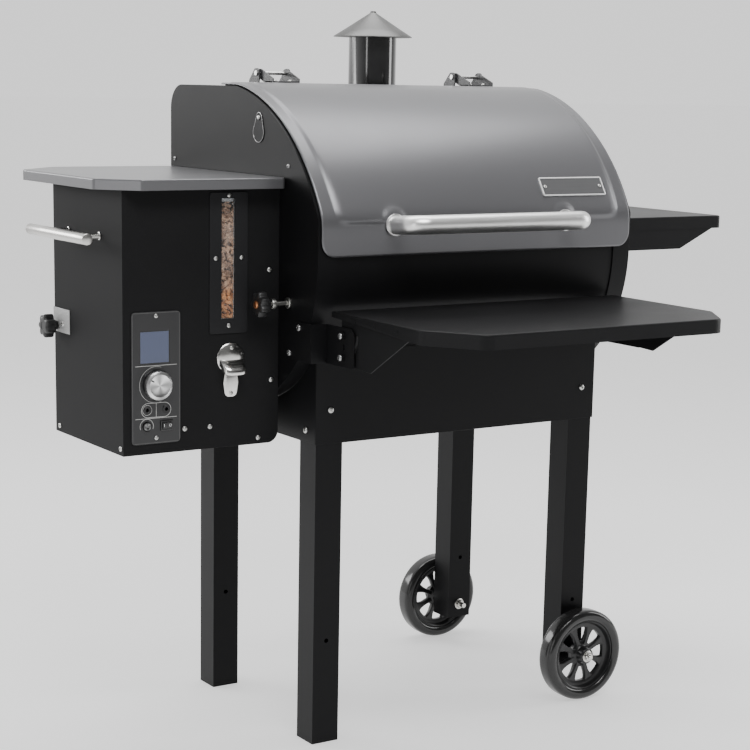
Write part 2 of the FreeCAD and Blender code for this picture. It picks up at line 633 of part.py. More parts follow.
def auger_drive():
    """Feed screw in its tube, gear motor and combustion blower."""
    y, z, tr = D["drum_y"], D["auger_z"], D["tube_rad"]
    start, stop = -590.0, -1 * D["pot_rad"] - seat
    tube = slab("YZ", start, stop, [(y, z, tr), (y, z, tr - 2)])
    cut(tube, "XY", z + 10, z + tr + 1, [rect(-560.0, -400.0, y - 17, y + 17)])
    node(tube, "auger_tube")
    shaft_r, flight_r, pitch, length = [num(D[k]) for k in ("shaft_rad", "flight_rad", "pitch", "feed_len")]
    screw = doc.addObject("Part::Feature", "screw")
    helix = Part.makeHelix(pitch, length, shaft_r)
    prof = Part.makePolygon([V(shaft_r - 1.5, 0, -2), V(flight_r, 0, -2), V(flight_r, 0, 2),
                             V(shaft_r - 1.5, 0, 2), V(shaft_r - 1.5, 0, -2)])
    flight = Part.Wire(helix).makePipeShell([prof], True, True)
    bar = Part.makeCylinder(shaft_r, length + 30, V(0, 0, -24))
    solid = flight.fuse(bar)
    solid.rotate(V(0, 0, 0), V(0, 1, 0), 90)
    screw.Shape = solid
    node(screw, "auger", (-584.0, y, z))
    box = block(-626.2, -593.0, y - 42, y + 42, z - 40, z + 40)
    can = rod("z", (-601.0, y, z - 92), 24.0, 53.0)
    bore = rod("x", (-612.0, y, z), D["shaft_rad"] + D["run_fit"], 30.0)
    node(carve(fuse([box, can]), bore), "auger_motor")
    fx, fy, fz = -440.0, 175.0, 590.0
    case = slab("XZ", 150.0, 200.0, [(fx, fz, 48.0), ])
    pad(case, "XZ", 152.0, 198.0, [rect(fx - 24, fx + 24, D["hop_low"] + thin + seat, 560.0)])
    cut(case, "XZ", 152.0, 198.0, [(fx, fz, 46.0)])
    cut(case, "XZ", 197.0, 201.0, [(fx, fz, 24.0)])
    pad(case, "XZ", 122.0, 150.5, [(fx, fz, 22.0)])
    pad(case, "XZ", 150.0, 186.0, [(fx, fz, 4.0)])
    node(case, "blower_case")
    shaft = (fx, fz, 4 + D["run_fit"])
    wheel = slab("XZ", 158.0, 160.0, [(fx, fz, 40.0), shaft])
    pad(wheel, "XZ", 159.5, 190.0, [(fx, fz, 8.0), shaft])
    for i in range(12):
        a = math.pi * 2 * i / 12
        c, s = math.cos(a), math.sin(a)
        quad = [(fx + 24 * c - 1 * s, fz + 24 * s + 1 * c), (fx + 24 * c + 1 * s, fz + 24 * s - 1 * c),
                (fx + 39 * c + 1 * s, fz + 39 * s - 1 * c), (fx + 39 * c - 1 * s, fz + 39 * s + 1 * c)]
        pad(wheel, "XZ", 159.5, 188.0, [quad])
    node(wheel, "blower_wheel")


# ---------------------------------------------------------------- hopper
def hopper_casing():
    """Folded box with a bevelled rear corner and an open top."""
    xl, xr, f, b = D["hop_l"], -1 * D["cap_x"] - seat, D["hop_f"], D["hop_b"]
    low, top = D["hop_low"], D["cover_z"] - thin - seat
    body = slab("XY", low, top, [[(xl, f), (xr, f), (xr, b), (D["hop_back_l"], b), (xl, D["hop_cut"])]])
    round_edges(body, 20.0, lambda e: near(e.CenterOfMass.x, xr) and near(e.CenterOfMass.z, low))
    hollow(body, thin, lambda s: near(s.CenterOfMass.z, top))
    doc.recompute()
    cut(body, "XZ", f - 1, f + thin + 1,
        [rect(-446.5, -421.0, 755.0, D["cover_z"] - 34), rect(-604.0, -534.0, 562.0, 764.0)])
    cut(body, "YZ", xr - thin - 1, xr + 1, [(D["drum_y"], D["auger_z"], D["tube_rad"] + seat)])
    vents = [rect(x, x + 6.0, 130.0, 200.0) for x in (-470.0, -455.0, -440.0, -425.0)]
    cut(body, "XY", low - 1, low + thin + 1, vents)
    cut(body, "XZ", b - thin - 1, b + 1, [rect(-402.0, -374.0, 566.0, 590.0)])
    node(body, "hopper_casing")


def hopper_bin():
    """Pellet bin: straight upper part, funnel and a hanging flange."""
    x0, x1, y0, y1 = -600.0, -340.0, D["hop_f"] + thin + 2, 160.0
    mid, low, top = 745.0, D["auger_z"] + D["tube_rad"] + seat, D["cover_z"] - 32
    body = slab("XY", mid, top, [rect(x0, x1, y0, y1), rect(x0 + 1.2, x1 - 1.2, y0 + 1.2, y1 - 1.2)])
    funnel = new_body()
    for kind, g in (("Additive", 0.0), ("Subtractive", 1.2)):
        f = funnel.newObject("PartDesign::%sLoft" % kind, "funnel")
        f.Profile = sketch(funnel, "XY", mid, [rect(x0 + g, x1 - g, y0 + g, y1 - g)])
        f.Sections = [sketch(funnel, "XY", low, [rect(-558.0 + g, -402.0 - g, -14.0 + g, 22.0 - g)])]
        doc.recompute()
    xl, xr, w = D["hop_l"] + thin + seat, -1 * D["cap_x"] - 2 * seat - thin, D["hop_b"] - thin - seat
    yf = D["hop_f"] + thin + seat
    pad(body, "XY", top - 1.5, top,
        [[(xl, yf), (xr, yf), (xr, w), (D["hop_back_l"] + 1, w), (xl, D["hop_cut"] - 1)],
         rect(x0 + 1, x1 - 1, y0 + 1, y1 - 1)])
    cut(body, "XZ", y0 - 1, y0 + 3, [rect(-446.5, -421.0, 755.0, top - 8)])
    node(together([body, funnel]), "hopper_bin")
    bars = [rod("x", (-598.5, y, top - 8), 2.0, 257.0) for y in (-100.0, 14.0, 128.0)]
    bars += [rod("y", (-590.0 + 24 * i, -131.0, top - 11.62), 1.6, 289.5) for i in range(11)]
    node(together(bars), "hopper_guard")


def hopper_cover():
    """Tray shaped lid with bevelled left corners, on two hinges at the rear."""
    z, h, l, f, b = D["cover_z"], D["cover_h"], D["cover_l"], D["cover_f"], D["cover_b"]
    xr = -1 * D["cap_x"] - 4.5
    body = slab("XY", z - h, z, [[(xr, f), (xr, b), (l + 88, b), (l, b - 82), (l, f + 58), (l + 60, f)]])
    round_edges(body, 10.0, lambda e: upright(e) and not near(e.CenterOfMass.x, xr))
    hollow(body, thin, lambda s: near(s.CenterOfMass.z, z - h) or near(s.CenterOfMass.x, xr))
    doc.recompute()
    y, pz, rad = D["hop_b"] + D["hpin_out"], z - D["hpin_down"], D["pin_rad"]
    ears, leaves = [], []
    under, back = z - thin + 0.5, D["hop_b"] + seat
    for mid in (-500.0, -390.0):
        for off in (-13.0, 11.0):
            pad(body, "YZ", mid + off, mid + off + 2,
                [[(y - 6, pz - 6), (y + 5, pz - 6), (y + 8, pz), (y + 8, under), (y - 8, under)],
                 (y, pz, rad + D["run_fit"])])
        for off in (-9.5, 7.5):
            leaves.append(slab("YZ", mid + off, mid + off + 2,
                               [[(back, pz - 14), (y + 2, pz - 5), (y + 5, pz), (y + 2, pz + 5),
                                 (y - 4, pz + 6), (back, pz + 6)], (y, pz, rad)]))
        ears.append(rod("x", (mid - 15, y, pz), rad, 30.0))
    node(body, "hopper_lid")
    node(together(leaves + ears), "hopper_hinges")


def hopper_front():
    """Window, control panel, bottle opener, side handle and cleanout door."""
    f = D["hop_f"] - seat
    high = D["cover_z"] - 34
    rim = soft_rect(-469.0, -397.0, 730.0, high + 10, 5.0)
    node(slab("XZ", f - 2, f, [rim, rect(-446.5, -421.0, 755.0, high)]), "window_frame")
    pane = slab("XZ", D["hop_f"] + seat, D["hop_f"] + thin, [rect(-446.2, -421.3, 755.3, high - 0.3)])
    node(pane, "window_pane")
    p = f - 1.5
    kx, kz = D["knob_x"], D["knob_z"]
    plate = slab("XZ", p, f, [soft_rect(-613.5, -523.5, 552.5, 773.5, 8.0), rect(-598.0, -544.0, 687.5, 741.5),
                              (kx, kz, 3 + D["run_fit"]), (-586.0, 583.0, 7.3),
                              (-585.0, 610.0, 3.0), (-550.0, 610.0, 3.0)])
    pad(plate, "XZ", p - 1.5, p + 0.2, [(kx, kz, 29.0), (kx, kz, 26.5)])
    pad(plate, "XZ", p - 1, p + 0.2, [(-586.0, 583.0, 11.0), (-586.0, 583.0, 8.5)])
    pad(plate, "XZ", p - 1.2, p + 0.2, [rect(-560.0, -538.0, 575.0, 590.0)])
    for x in (-585.0, -550.0):
        pad(plate, "XZ", p - 1.2, p + 0.2, [(x, 610.0, 7.0), (x, 610.0, 3.0)])
    node(plate, "control_plate")
    node(slab("XZ", p + 0.3, f, [rect(-597.7, -544.3, 687.8, 741.2)]), "display")
    knob = turned("y", (kx, 0.0, kz), [(p - 16, 0.0), (p - 16, 21.0), (p - 13, 25.0), (p - 2, 25.0),
                                       (p - 2, 3.0), (f + 12, 3.0), (f + 12, 0.0)])
    node(knob, "control_knob")
    button = turned("y", (-586.0, 0.0, 583.0), [(p - 4, 0.0), (p - 4, 7.0), (f + 8, 7.0), (f + 8, 0.0)])
    node(button, "power_button")
    ox, oz = -428.4, 687.5
    opener = slab("XZ", f - 2, f, [[(ox - 10, oz - 66, (14.0, 1)), (ox + 10, oz - 66), (ox + 12, oz - 26),
                                    (ox + 23, oz - 12), (ox + 25.5, oz - 5, (26.0, 1)), (ox - 25.5, oz - 5),
                                    (ox - 23, oz - 12), (ox - 12, oz - 26)]])
    pad(opener, "YZ", ox - 21.6, ox + 22.4,
        [[(f - 1.5, oz - 25.5), (f - 1.5, oz - 22.5), (f - 23, oz - 22.5), (f - 23, oz - 13.5),
          (f - 26, oz - 13.5), (f - 26, oz - 22, (3.5, 1)), (f - 22.5, oz - 25.5)]])
    node(opener, "bottle_opener")
    wall = D["hop_l"] - seat
    br = D["bar_rad"]
    bar_x, bar_z = wall - 38.45 - br, D["cover_z"] - 98
    bar = turned("y", (bar_x, 0.0, bar_z),
                 [(-106.0, 0.0), (-106.0, br - 3, (3.0, -1)), (-103.0, br), (125.0, br, (3.0, -1)),
                  (128.0, br - 3), (128.0, 0.0)])
    parts = [bar]
    for y in (-50.0, 74.0):
        parts += [rod("x", (bar_x, y, bar_z), 4.5, wall - bar_x), rod("x", (wall - 3, y, bar_z), 9.0, 3.0)]
    node(fuse(parts), "hopper_handle")
    x, c = wall, D["hop_cut"]
    dx, dy = 0.43 * (D["hop_back_l"] - D["hop_l"]), 0.43 * (D["hop_b"] - D["hop_cut"])
    door = slab("XY", 713.0, 755.0,
                [[(x, 72.0), (x, c), (x + dx, c + dy), (x + dx - 1.1, c + dy + 1.1),
                  (x - 1.5, c + 0.7), (x - 1.5, 72.0)]])
    cut(door, "YZ", x - 3, x + 1, [(124.0, 724.0, 4.0)])
    node(door, "cleanout_door")
    n, star = 14, []
    for i in range(n):
        a, r = math.pi * 2 * i / n, 21.0 if i % 2 == 0 else 16.0
        star.append((124.0 + r * math.cos(a), 724.0 + r * math.sin(a)))
    knob = slab("YZ", x - 29, x - 10, [star])
    pad(knob, "YZ", x - 10.5, x - 1.8, [(124.0, 724.0, 9.0)])
    pad(knob, "YZ", x - 2.2, x, [(124.0, 724.0, 3.95)])
    node(knob, "cleanout_knob")


# ---------------------------------------------------------------- shelves
def shelf_arms():
    """Brackets that wrap the cap's rim and reach forward to the shelf pivots."""
    arms, y, z = [], D["fold_y"], D["fold_z"]
    rad = D["drum_rad"]
    cx, ax = D["cap_x"] + seat, D["arm_x"]
    plane = front_y + 17
    for side in (-1, 1):
        def span(a, b, side=side):
            return (side * a, side * b) if side > 0 else (side * b, side * a)
        x0, x1 = span(cx, cx + skin)
        body = slab("YZ", x0, x1, [[(plane, 686.0), (plane, 752.0), (-196.0, 752.0), (-160.0, 716.0),
                                    (-160.0, 686.0)]])
        x0, x1 = span(ax - skin, cx + skin)
        pad(body, "XZ", plane - skin, plane, [rect(x0, x1, 686.0, 752.0)])
        x0, x1 = span(ax - skin, ax)
        tip = y - 34
        pad(body, "YZ", x0, x1, [[(plane - 0.5, 686.0), (plane - 0.5, 752.0), (tip + 15, 752.0, (15.0, 1)),
                                  (tip, 737.0), (tip, 686.0)],
                                 (y, z, 3.0), (y, z - D["fold_rad"], 3.0), rect(y - 5, y - 1, 714.0, 724.0)])
        arms.append(body)
        b0, b1 = span(ax - 12, ax + 5)
        h0 = span(ax, ax + 5)[0]
        for dz in (0.0, D["fold_rad"]):
            arms.append(fuse([rod("x", (b0, y, z - dz), 3.0, b1 - b0), rod("x", (h0, y, z - dz), 6.0, 5.0)]))
    node(together(arms), "shelf_arms")


def front_shelf():
    """Tray shelf with folded flanges and two gusset plates that hang on the arms."""
    x, f, b, z, h = D["shelf_x"], D["shelf_f"], D["shelf_b"], D["shelf_z"], D["shelf_h"]
    body = slab("XY", z - h, z, [[(-1 * x, b), (-1 * x, f + 90), (62 - x, f), (x - 62, f), (x, f + 90), (x, b)]])
    round_edges(body, 12.0, lambda e: upright(e) and not near(e.CenterOfMass.y, b))
    hollow(body, thin, lambda s: near(s.CenterOfMass.z, z - h))
    doc.recompute()
    cut(body, "XY", z - h - 1, z - thin - 0.5, [rect(-1 * x - 1, x + 1, b - 60, b + 1)])
    node(body, "shelf_top")
    y0, z0, rad = D["fold_y"], D["fold_z"], D["fold_rad"]
    plates, slot = [], 3.3
    for side in (-1, 1):
        xi = side * (x - thin - seat)
        lo, hi = (xi, xi + 2) if side < 0 else (xi - 2, xi)
        out = [(y0 + 12, z - thin - seat), (y0 + 12, z0 - 12), (y0 + 8, z0 - rad - 12), (y0 - 78, z0 - rad - 16),
               (y0 - 190, z - h + 4), (y0 - 190, z - thin - seat)]
        body = slab("YZ", lo, hi, [out, (y0, z0, 3 + D["run_fit"])])
        r0, r1 = rad - slot, rad + slot
        arc = [(y0 + slot, z0 - r0), (y0, z0 - r0, (r0, -1)), (y0 - r0, z0), (y0 - r0, z0 + slot),
               (y0 - r1, z0 + slot), (y0 - r1, z0, (r1, 1)), (y0, z0 - r1), (y0 + slot, z0 - r1)]
        cut(body, "YZ", lo - 1, hi + 1, [arc])
        plates.append(body)
        for y in (y0 - 28, y0 - 90, y0 - 154):
            plates.append(rod("x", (side * x - (0.8 if side < 0 else 0), y, z - 10), 4.5, 0.8))
    node(together(plates), "shelf_gussets")


def side_shelf():
    """Fixed tray shelf on the right cap, on two folded brackets."""
    x0, x1, f, b, z = D["cap_x"] + seat, D["side_x"], D["side_f"], D["side_b"], D["side_z"]
    body = slab("XY", z - 24, z, [rect(x0, x1, f, b)])
    round_edges(body, 8.0, lambda e: upright(e) and near(e.CenterOfMass.x, x1))
    hollow(body, thin, lambda s: near(s.CenterOfMass.z, z - 24))
    node(body, "side_shelf_top")
    plates = []
    for y0, y1 in ((f + thin + seat, f + thin + seat + 2), (b - thin - seat - 2, b - thin - seat)):
        p = slab("XZ", y0, y1, [[(x0, 845.0), (535.0, 845.0), (x1 - 24, z - 24), (x1 - 11, z - 20),
                                 (x1 - 11, z - thin - seat), (x0 + thin + seat, z - thin - seat),
                                 (x0 + thin + seat, z - 24 - seat), (x0, z - 24 - seat)]])
        plates.append(p)
    node(together(plates), "side_shelf_brackets")


# ---------------------------------------------------------------- chimney, wheels, fasteners
def chimney():
    """Mitred pipe on the rear wall, and a hat that slides on its threaded rod."""
    x, y, z, rad, top = D["flue_x"], rear_y + D["flue_out"], D["flue_z"], D["flue_rad"], D["flue_top"]
    wall = rear_y - skin
    near, far, under, over = y - rad - 2, y + rad + 2, z - rad - 2, z + rad + 2
    stub = slab("XZ", wall, far, [(x, z, rad), (x, z, rad - 1.5)])
    cut(stub, "YZ", x - rad - 2, x + rad + 2, [[(far, under), (far, over), (near, over)]])
    pad(stub, "XZ", wall, wall + 2, [rect(x - 66, x + 66, z - 66, z + 66), (x, z, rad - 1.5)])
    riser = slab("XY", under, top, [(x, y, rad), (x, y, rad - 1.5)])
    cut(riser, "YZ", x - rad - 2, x + rad + 2, [[(far, under), (near, over), (near, under)]])
    strap = rect(x - rad + 1, x + rad - 1, y - 7, y + 7)
    pad(riser, "XY", top - 40, top - 38, [strap, (x, y, 3 + D["run_fit"])])
    node(together([stub, riser]), "chimney_pipe")
    low = 1155.0
    hat = turned("z", (x, y, 0.0),
                 [(low, 0.0), (low, 3.0), (top + D["hat_h"] - 2.5, 3.0), (top + 0.5, D["hat_rad"] - 1.2),
                  (top + 0.5, D["hat_rad"]), (top + D["hat_h"] - 1.5, 5.5), (top + D["hat_h"] + 3, 5.5),
                  (top + D["hat_h"] + 3, 0.0)])
    node(hat, "chimney_hat")


def wheels():
    """Spoked plastic wheels with rubber tyres on bolts through the right legs."""
    rad, w, axle = D["wheel_rad"], D["wheel_w"], D["axle_rad"]
    x, z, half = D["leg_x"] - D["leg_w"] / 2, D["wheel_rad"], D["wheel_w"] / 2
    bolts = []
    for name, side in (("front", -1), ("rear", 1)):
        mid = side * (D["leg_y"] + D["wheel_gap"] + half)
        hub = turned("y", (0.0, 0.0, 0.0),
                     [(-1 * half, axle + D["run_fit"]), (half, axle + D["run_fit"]), (half, 15.0), (4.0, 18.0),
                      (4.0, rad - 24), (15.0, rad - 22), (15.0, rad - 16), (-15.0, rad - 16), (-15.0, rad - 22),
                      (-4.0, rad - 24), (-4.0, 18.0), (-1 * half, 15.0)])
        doc.recompute()
        c, s = math.cos(math.radians(15)), math.sin(math.radians(15))
        far = rad - 26.5
        gap = sketch(hub, "XZ", -5.0, [[(25 * c, -25 * s), (far * c, far * -s, (far, 1)), (far * c, far * s),
                                        (25 * c, 25 * s)]])
        p = hub.newObject("PartDesign::Pocket", "window")
        p.Profile = gap
        p.Length = 10
        p.Midplane = False
        p.Reversed = True
        doc.recompute()
        pattern = hub.newObject("PartDesign::PolarPattern", "windows")
        pattern.Originals = [p]
        axis = [o for o in hub.Origin.OriginFeatures if o.Role == "Y_Axis"][0]
        pattern.Axis = (axis, [""])
        pattern.Angle = 360
        pattern.Occurrences = 8
        hub.Tip = pattern
        node(hub, "wheel_" + name, (x, mid, z))
        inner = rad - 16 + seat
        tyre = turned("y", (0.0, 0.0, 0.0),
                      [(-15.0, inner), (15.0, inner), (19.0, rad - 14), (half, rad - 10), (20.0, rad - 4),
                       (12.0, rad), (-12.0, rad), (-20.0, rad - 4), (-1 * half, rad - 10),
                       (-19.0, rad - 14)])
        node(tyre, "tyre_" + name, (x, mid, z))
        leg_in, out = side * (D["leg_y"] - D["leg_w"]), side * (D["leg_y"] + D["wheel_gap"] + w)
        lo, hi = (out - 1, leg_in + 12) if side < 0 else (leg_in - 12, out + 1)
        bolts.append(rod("y", (x, lo, z), axle, hi - lo))
        head = (lo - 6.4, leg_in + seat) if side < 0 else (hi, leg_in - seat - 8)
        bolts.append(rod("y", (x, head[0], z), 9.0, 6.4))
        bolts.append(carve(rod("y", (x, head[1], z), 9.0, 8.0), rod("y", (x, head[1] - 1, z), axle, 10.0)))
        face = side * D["leg_y"] + (seat if side > 0 else -1 * seat - D["wheel_gap"] + 2 * seat)
        bolts.append(carve(rod("y", (x, face, z), 10.0, D["wheel_gap"] - 2 * seat),
                           rod("y", (x, face - 1, z), axle, D["wheel_gap"] + 2)))
    node(together(bolts), "axles")


def fasteners():
    """Pan heads of the panel screws, and the rivet that the port cover swings on."""
    heads = []
    sy = -1 * D["leg_y"] - seat - skin
    for x in (-275.0, 275.0):
        heads.append(rod("y", (x, sy - 3, 598.0), 5.5, 3.0))
    for side in (-1, 1):
        sx = side * (D["leg_x"] + seat + skin)
        for y in (-180.0, 180.0):
            heads.append(rod("x", (sx - (3 if side < 0 else 0), y, 560.0), 5.5, 3.0))
        cx = side * D["cap_x"]
        for y, z in ((253.0, 1004.0), (-163.0, 1009.0), (-168.0, 800.0)):
            if side > 0 or z > 900:
                heads.append(rod("x", (cx - (2 if side < 0 else 0), y, z), 4.0, 2.0))
        ax = side * (D["cap_x"] + seat + skin)
        for y, z in ((-207.0, 742.0), (-176.0, 696.0)):
            heads.append(rod("x", (ax - (3 if side < 0 else 0), y, z), 5.5, 3.0))
    f = D["hop_f"]
    for x, z in ((-354.0, 834.0), (-349.0, 645.0), (-374.0, 546.0), (-515.0, 573.0), (-467.5, 573.0)):
        heads.append(rod("y", (x, f - 2.5, z), 4.5, 2.5))
    for x, z, back in ((-433.0, D["cover_z"] - 29, 2.3), (-458.0, 857.0, 2.3), (-409.0, 857.0, 2.3),
                       (-433.0, 743.0, 2.3), (-568.5, 766.5, 1.8), (-568.5, 562.5, 1.8), (-428.4, 703.0, 2.3),
                       (-428.4, 628.0, 2.3)):
        heads.append(rod("y", (x, f - back - 2, z), 3.8, 2.0))
    heads.append(rod("x", (D["hop_l"] - 2.5, 120.0, 546.0), 4.5, 2.5))
    heads.append(rod("x", (D["hop_l"] - seat - 3.5, 98.0, 729.0), 4.5, 2.0))
    py, pz = D["port_y"], D["cover_z"] + 96.5
    cap = -1 * D["cap_x"]
    pin = fuse([rod("x", (cap - 3, py, pz), 2.0, 5.0), rod("x", (cap - 3.2, py, pz), 4.0, 1.2)])
    node(together(heads + [pin]), "panel_screws")
    x = -1 * D["cap_x"] - seat
    drop = [(py - 17, pz - 23.5, (19.0, 1)), (py + 2, pz - 42.5, (19.0, 1)), (py + 21, pz - 23.5),
            (py + 8.5, pz + 3.5, (8.5, 1)), (py, pz + 8.5, (8.5, 1)), (py - 8.5, pz + 3.5)]
    node(slab("YZ", x - 1.3, x, [drop, (py, pz, 2 + D["run_fit"])]), "port_cover")
    probe = fuse([rod("x", (-1 * inner_x + seat, 190.0, 930.0), 3.0, 96.0),
                  rod("x", (-1 * inner_x + seat, 190.0, 930.0), 9.0, 3.0)])
    node(probe, "temperature_probe")
    b = D["hop_b"]
    node(fuse([block(-403.0, -373.0, b + seat, b + 4, 565.0, 591.0),
               block(-401.0, -375.0, b - 20, b + 2, 567.0, 589.0)]), "power_inlet")


for build in (legs, skirt, end_caps, barrel_shell, lid, lid_hinges, gasket, grates, fire_box, flame_slide,
              auger_drive, hopper_casing, hopper_bin, hopper_cover, hopper_front, shelf_arms, front_shelf,
              side_shelf, chimney, wheels, fasteners):
    build()
doc.recompute()

bad = [o.Name for o in doc.Objects if "Invalid" in o.State or "Error" in o.State]
bad += [o.Label for o in NODES if o.Shape.isNull() or not o.Shape.isValid()]
if bad:
    raise ValueError("failed: " + ", ".join(bad))
os.makedirs("parts", exist_ok=True)
for obj in NODES:
    obj.Shape.exportStep("parts/%s.step" % obj.Label)
print(len(NODES), "sub-parts written")
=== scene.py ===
import json
import math
import random
import bmesh
import bpy
from mathutils import Matrix, Vector

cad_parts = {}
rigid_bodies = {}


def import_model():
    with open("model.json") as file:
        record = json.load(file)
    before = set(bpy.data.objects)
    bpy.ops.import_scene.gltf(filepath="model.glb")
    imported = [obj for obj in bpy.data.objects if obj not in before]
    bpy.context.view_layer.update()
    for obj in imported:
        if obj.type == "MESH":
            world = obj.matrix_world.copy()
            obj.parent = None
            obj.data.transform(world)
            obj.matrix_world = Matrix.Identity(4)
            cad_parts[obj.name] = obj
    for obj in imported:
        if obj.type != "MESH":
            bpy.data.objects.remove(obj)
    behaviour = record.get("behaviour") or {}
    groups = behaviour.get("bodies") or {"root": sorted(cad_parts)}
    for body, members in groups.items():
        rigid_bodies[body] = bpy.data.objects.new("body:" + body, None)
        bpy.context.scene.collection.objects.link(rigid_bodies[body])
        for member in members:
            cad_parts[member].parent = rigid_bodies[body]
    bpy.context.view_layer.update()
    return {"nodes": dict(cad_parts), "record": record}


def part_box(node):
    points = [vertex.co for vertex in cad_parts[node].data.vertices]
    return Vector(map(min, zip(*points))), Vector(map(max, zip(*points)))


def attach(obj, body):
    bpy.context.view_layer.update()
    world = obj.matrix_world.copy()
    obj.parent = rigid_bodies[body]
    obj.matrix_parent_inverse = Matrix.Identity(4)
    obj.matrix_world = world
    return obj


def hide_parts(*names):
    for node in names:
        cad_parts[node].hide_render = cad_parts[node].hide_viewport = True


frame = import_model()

node = frame["nodes"]
ox, oy = 0.021375, 0.1          # middle of the barrel in the object's frame

# -------------------- legs
# Four square steel tubes, each with one cross hole; the pair at the wheel side
# is shorter.  Sawn, drilled and sprayed with black powder coat, like most of the
# body, so that coat is mixed here.
def wired(tree, kind, settings, sockets, out=0):
    """One node: its settings first, then the values or links of its sockets."""
    n = tree.nodes.new(kind)
    for key, x in settings.items():
        setattr(n, key, x)
    for key, x in sockets.items():
        if isinstance(x, bpy.types.NodeSocket):
            tree.links.new(x, n.inputs[key])
        else:
            n.inputs[key].default_value = x
    return n.outputs[out]


class Val:
    """A shader socket that can stand in arithmetic."""

    def __init__(self, paint, socket):
        self.paint, self.socket = paint, socket

    def __add__(self, o): return self.paint.maths("ADD", self, o)
    def __radd__(self, o): return self.paint.maths("ADD", o, self)
    def __sub__(self, o): return self.paint.maths("SUBTRACT", self, o)
    def __rsub__(self, o): return self.paint.maths("SUBTRACT", o, self)
    def __mul__(self, o): return self.paint.maths("MULTIPLY", self, o)
    def __rmul__(self, o): return self.paint.maths("MULTIPLY", o, self)
    def __abs__(self): return self.paint.maths("ABSOLUTE", self)
    def above(self, o): return self.paint.maths("GREATER_THAN", self, o)
    def below(self, o): return self.paint.maths("LESS_THAN", self, o)
    def angle(self, o): return self.paint.maths("ARCTAN2", self, o)
    def most(self, o): return self.paint.maths("MAXIMUM", self, o)
    def root(self): return self.paint.maths("SQRT", self)
    def cosine(self): return self.paint.maths("COSINE", self)


class Paint:
    """A procedural finish with one Principled shader."""

    def __init__(self, name, colour, metallic, rough, **fixed):
        self.mat = bpy.data.materials.new(name)
        self.mat.use_nodes = True
        self.tree = self.mat.node_tree
        self.tree.nodes.clear()
        out = self.tree.nodes.new("ShaderNodeOutputMaterial")
        self.shader = self.tree.nodes.new("ShaderNodeBsdfPrincipled")
        self.tree.links.new(self.shader.outputs[0], out.inputs["Surface"])
        for key, x in dict(fixed, Metallic=metallic, Roughness=rough).items():
            self.shader.inputs[key.replace("_", " ")].default_value = x
        self.shader.inputs["Base Color"].default_value = (*colour, 1)
        self.place = self.add("ShaderNodeTexCoord", {}, {}, "Object")
        self.height = None

    def add(self, kind, settings, sockets, out=0):
        sockets = {key: x.socket if isinstance(x, Val) else x for key, x in sockets.items()}
        return Val(self, wired(self.tree, kind, settings, sockets, out))

    def maths(self, operation, a, b=0.0):
        return self.add("ShaderNodeMath", {"operation": operation}, {0: a, 1: b})

    def stretch(self, x, y, z):
        return self.add("ShaderNodeMapping", {}, {"Vector": self.place, "Scale": (x, y, z)})

    def axis(self, i):
        return self.add("ShaderNodeSeparateXYZ", {}, {0: self.place}, i)

    def from_front(self, x=0.0, z=0.0):
        """Millimetres to the right of and above a point, as seen from the front."""
        return self.axis(0) * 1000 - (ox * 1000 + x), self.axis(2) * 1000 - z

    def noise(self, scale, detail=3.0, rough=0.55, where=None):
        return self.add("ShaderNodeTexNoise", {}, {"Vector": where or self.place, "Scale": scale,
                                                   "Detail": detail, "Roughness": rough}, "Fac")

    def cells(self, scale, feature="F1"):
        return self.add("ShaderNodeTexVoronoi", {"feature": feature},
                        {"Vector": self.place, "Scale": scale}, "Distance")

    def ramp(self, x, lo, hi, to_lo=0.0, to_hi=1.0):
        """Smooth step of a value from lo..hi to to_lo..to_hi."""
        return self.add("ShaderNodeMapRange", {"interpolation_type": "SMOOTHSTEP"},
                        {0: x, 1: lo, 2: hi, 3: to_lo, 4: to_hi})

    def between(self, mask, a, b):
        """Colour a where the mask is 0 and b where it is 1."""
        def rgba(c): return c if isinstance(c, Val) else (*c, 1)
        return self.add("ShaderNodeMix", {"data_type": "RGBA", "clamp_factor": True},
                        {0: mask, 6: rgba(a), 7: rgba(b)}, 2)

    def set(self, key, x):
        self.tree.links.new(x.socket, self.shader.inputs[key])
        return self

    def blend(self, mask, a, b):
        """Base colour between two colours."""
        return self.set("Base Color", self.between(mask, a, b))

    def shade(self, mask, colour, low, high):
        """Base colour between two shades of one colour."""
        return self.blend(mask, *(tuple(min(c * k, 1.0) for c in colour) for k in (low, high)))

    def bump(self, height, distance, strength=1.0):
        below = {"Normal": self.height} if self.height else {}
        self.height = self.add("ShaderNodeBump", {}, {"Height": height, "Distance": distance,
                                                      "Strength": strength, **below})
        return self.set("Normal", self.height)


def powder(name, colour, rough, **fixed):
    """Powder coat: a fine orange peel, cloudy gloss and a little settled dust."""
    p = Paint(name, colour, 0.0, rough, **dict({"Specular_IOR_Level": 0.13}, **fixed))
    cloud = p.noise(5.0, 4.0, 0.6)
    speck = p.ramp(p.noise(900.0, 1.0), 0.62, 0.72)
    p.shade(speck * 0.5 + cloud * 0.5, colour, 0.8, 1.6)
    p.set("Roughness", cloud * 0.12 + (rough - 0.06))
    return p.bump(p.noise(1500.0, 2.0, 0.6), 0.00006, 0.6)


def in_scene(name, mesh):
    obj = bpy.data.objects.new(name, mesh)
    bpy.context.scene.collection.objects.link(obj)
    return obj


def applied(obj, name):
    """The object with its modifiers worked in, as one plain mesh; the object goes."""
    shape = obj.evaluated_get(bpy.context.evaluated_depsgraph_get())
    mesh = bpy.data.meshes.new_from_object(shape)
    mesh.name = name
    blank = obj.data
    bpy.data.objects.remove(obj)
    if isinstance(blank, bpy.types.Mesh) and not blank.users:
        bpy.data.meshes.remove(blank)
    return mesh


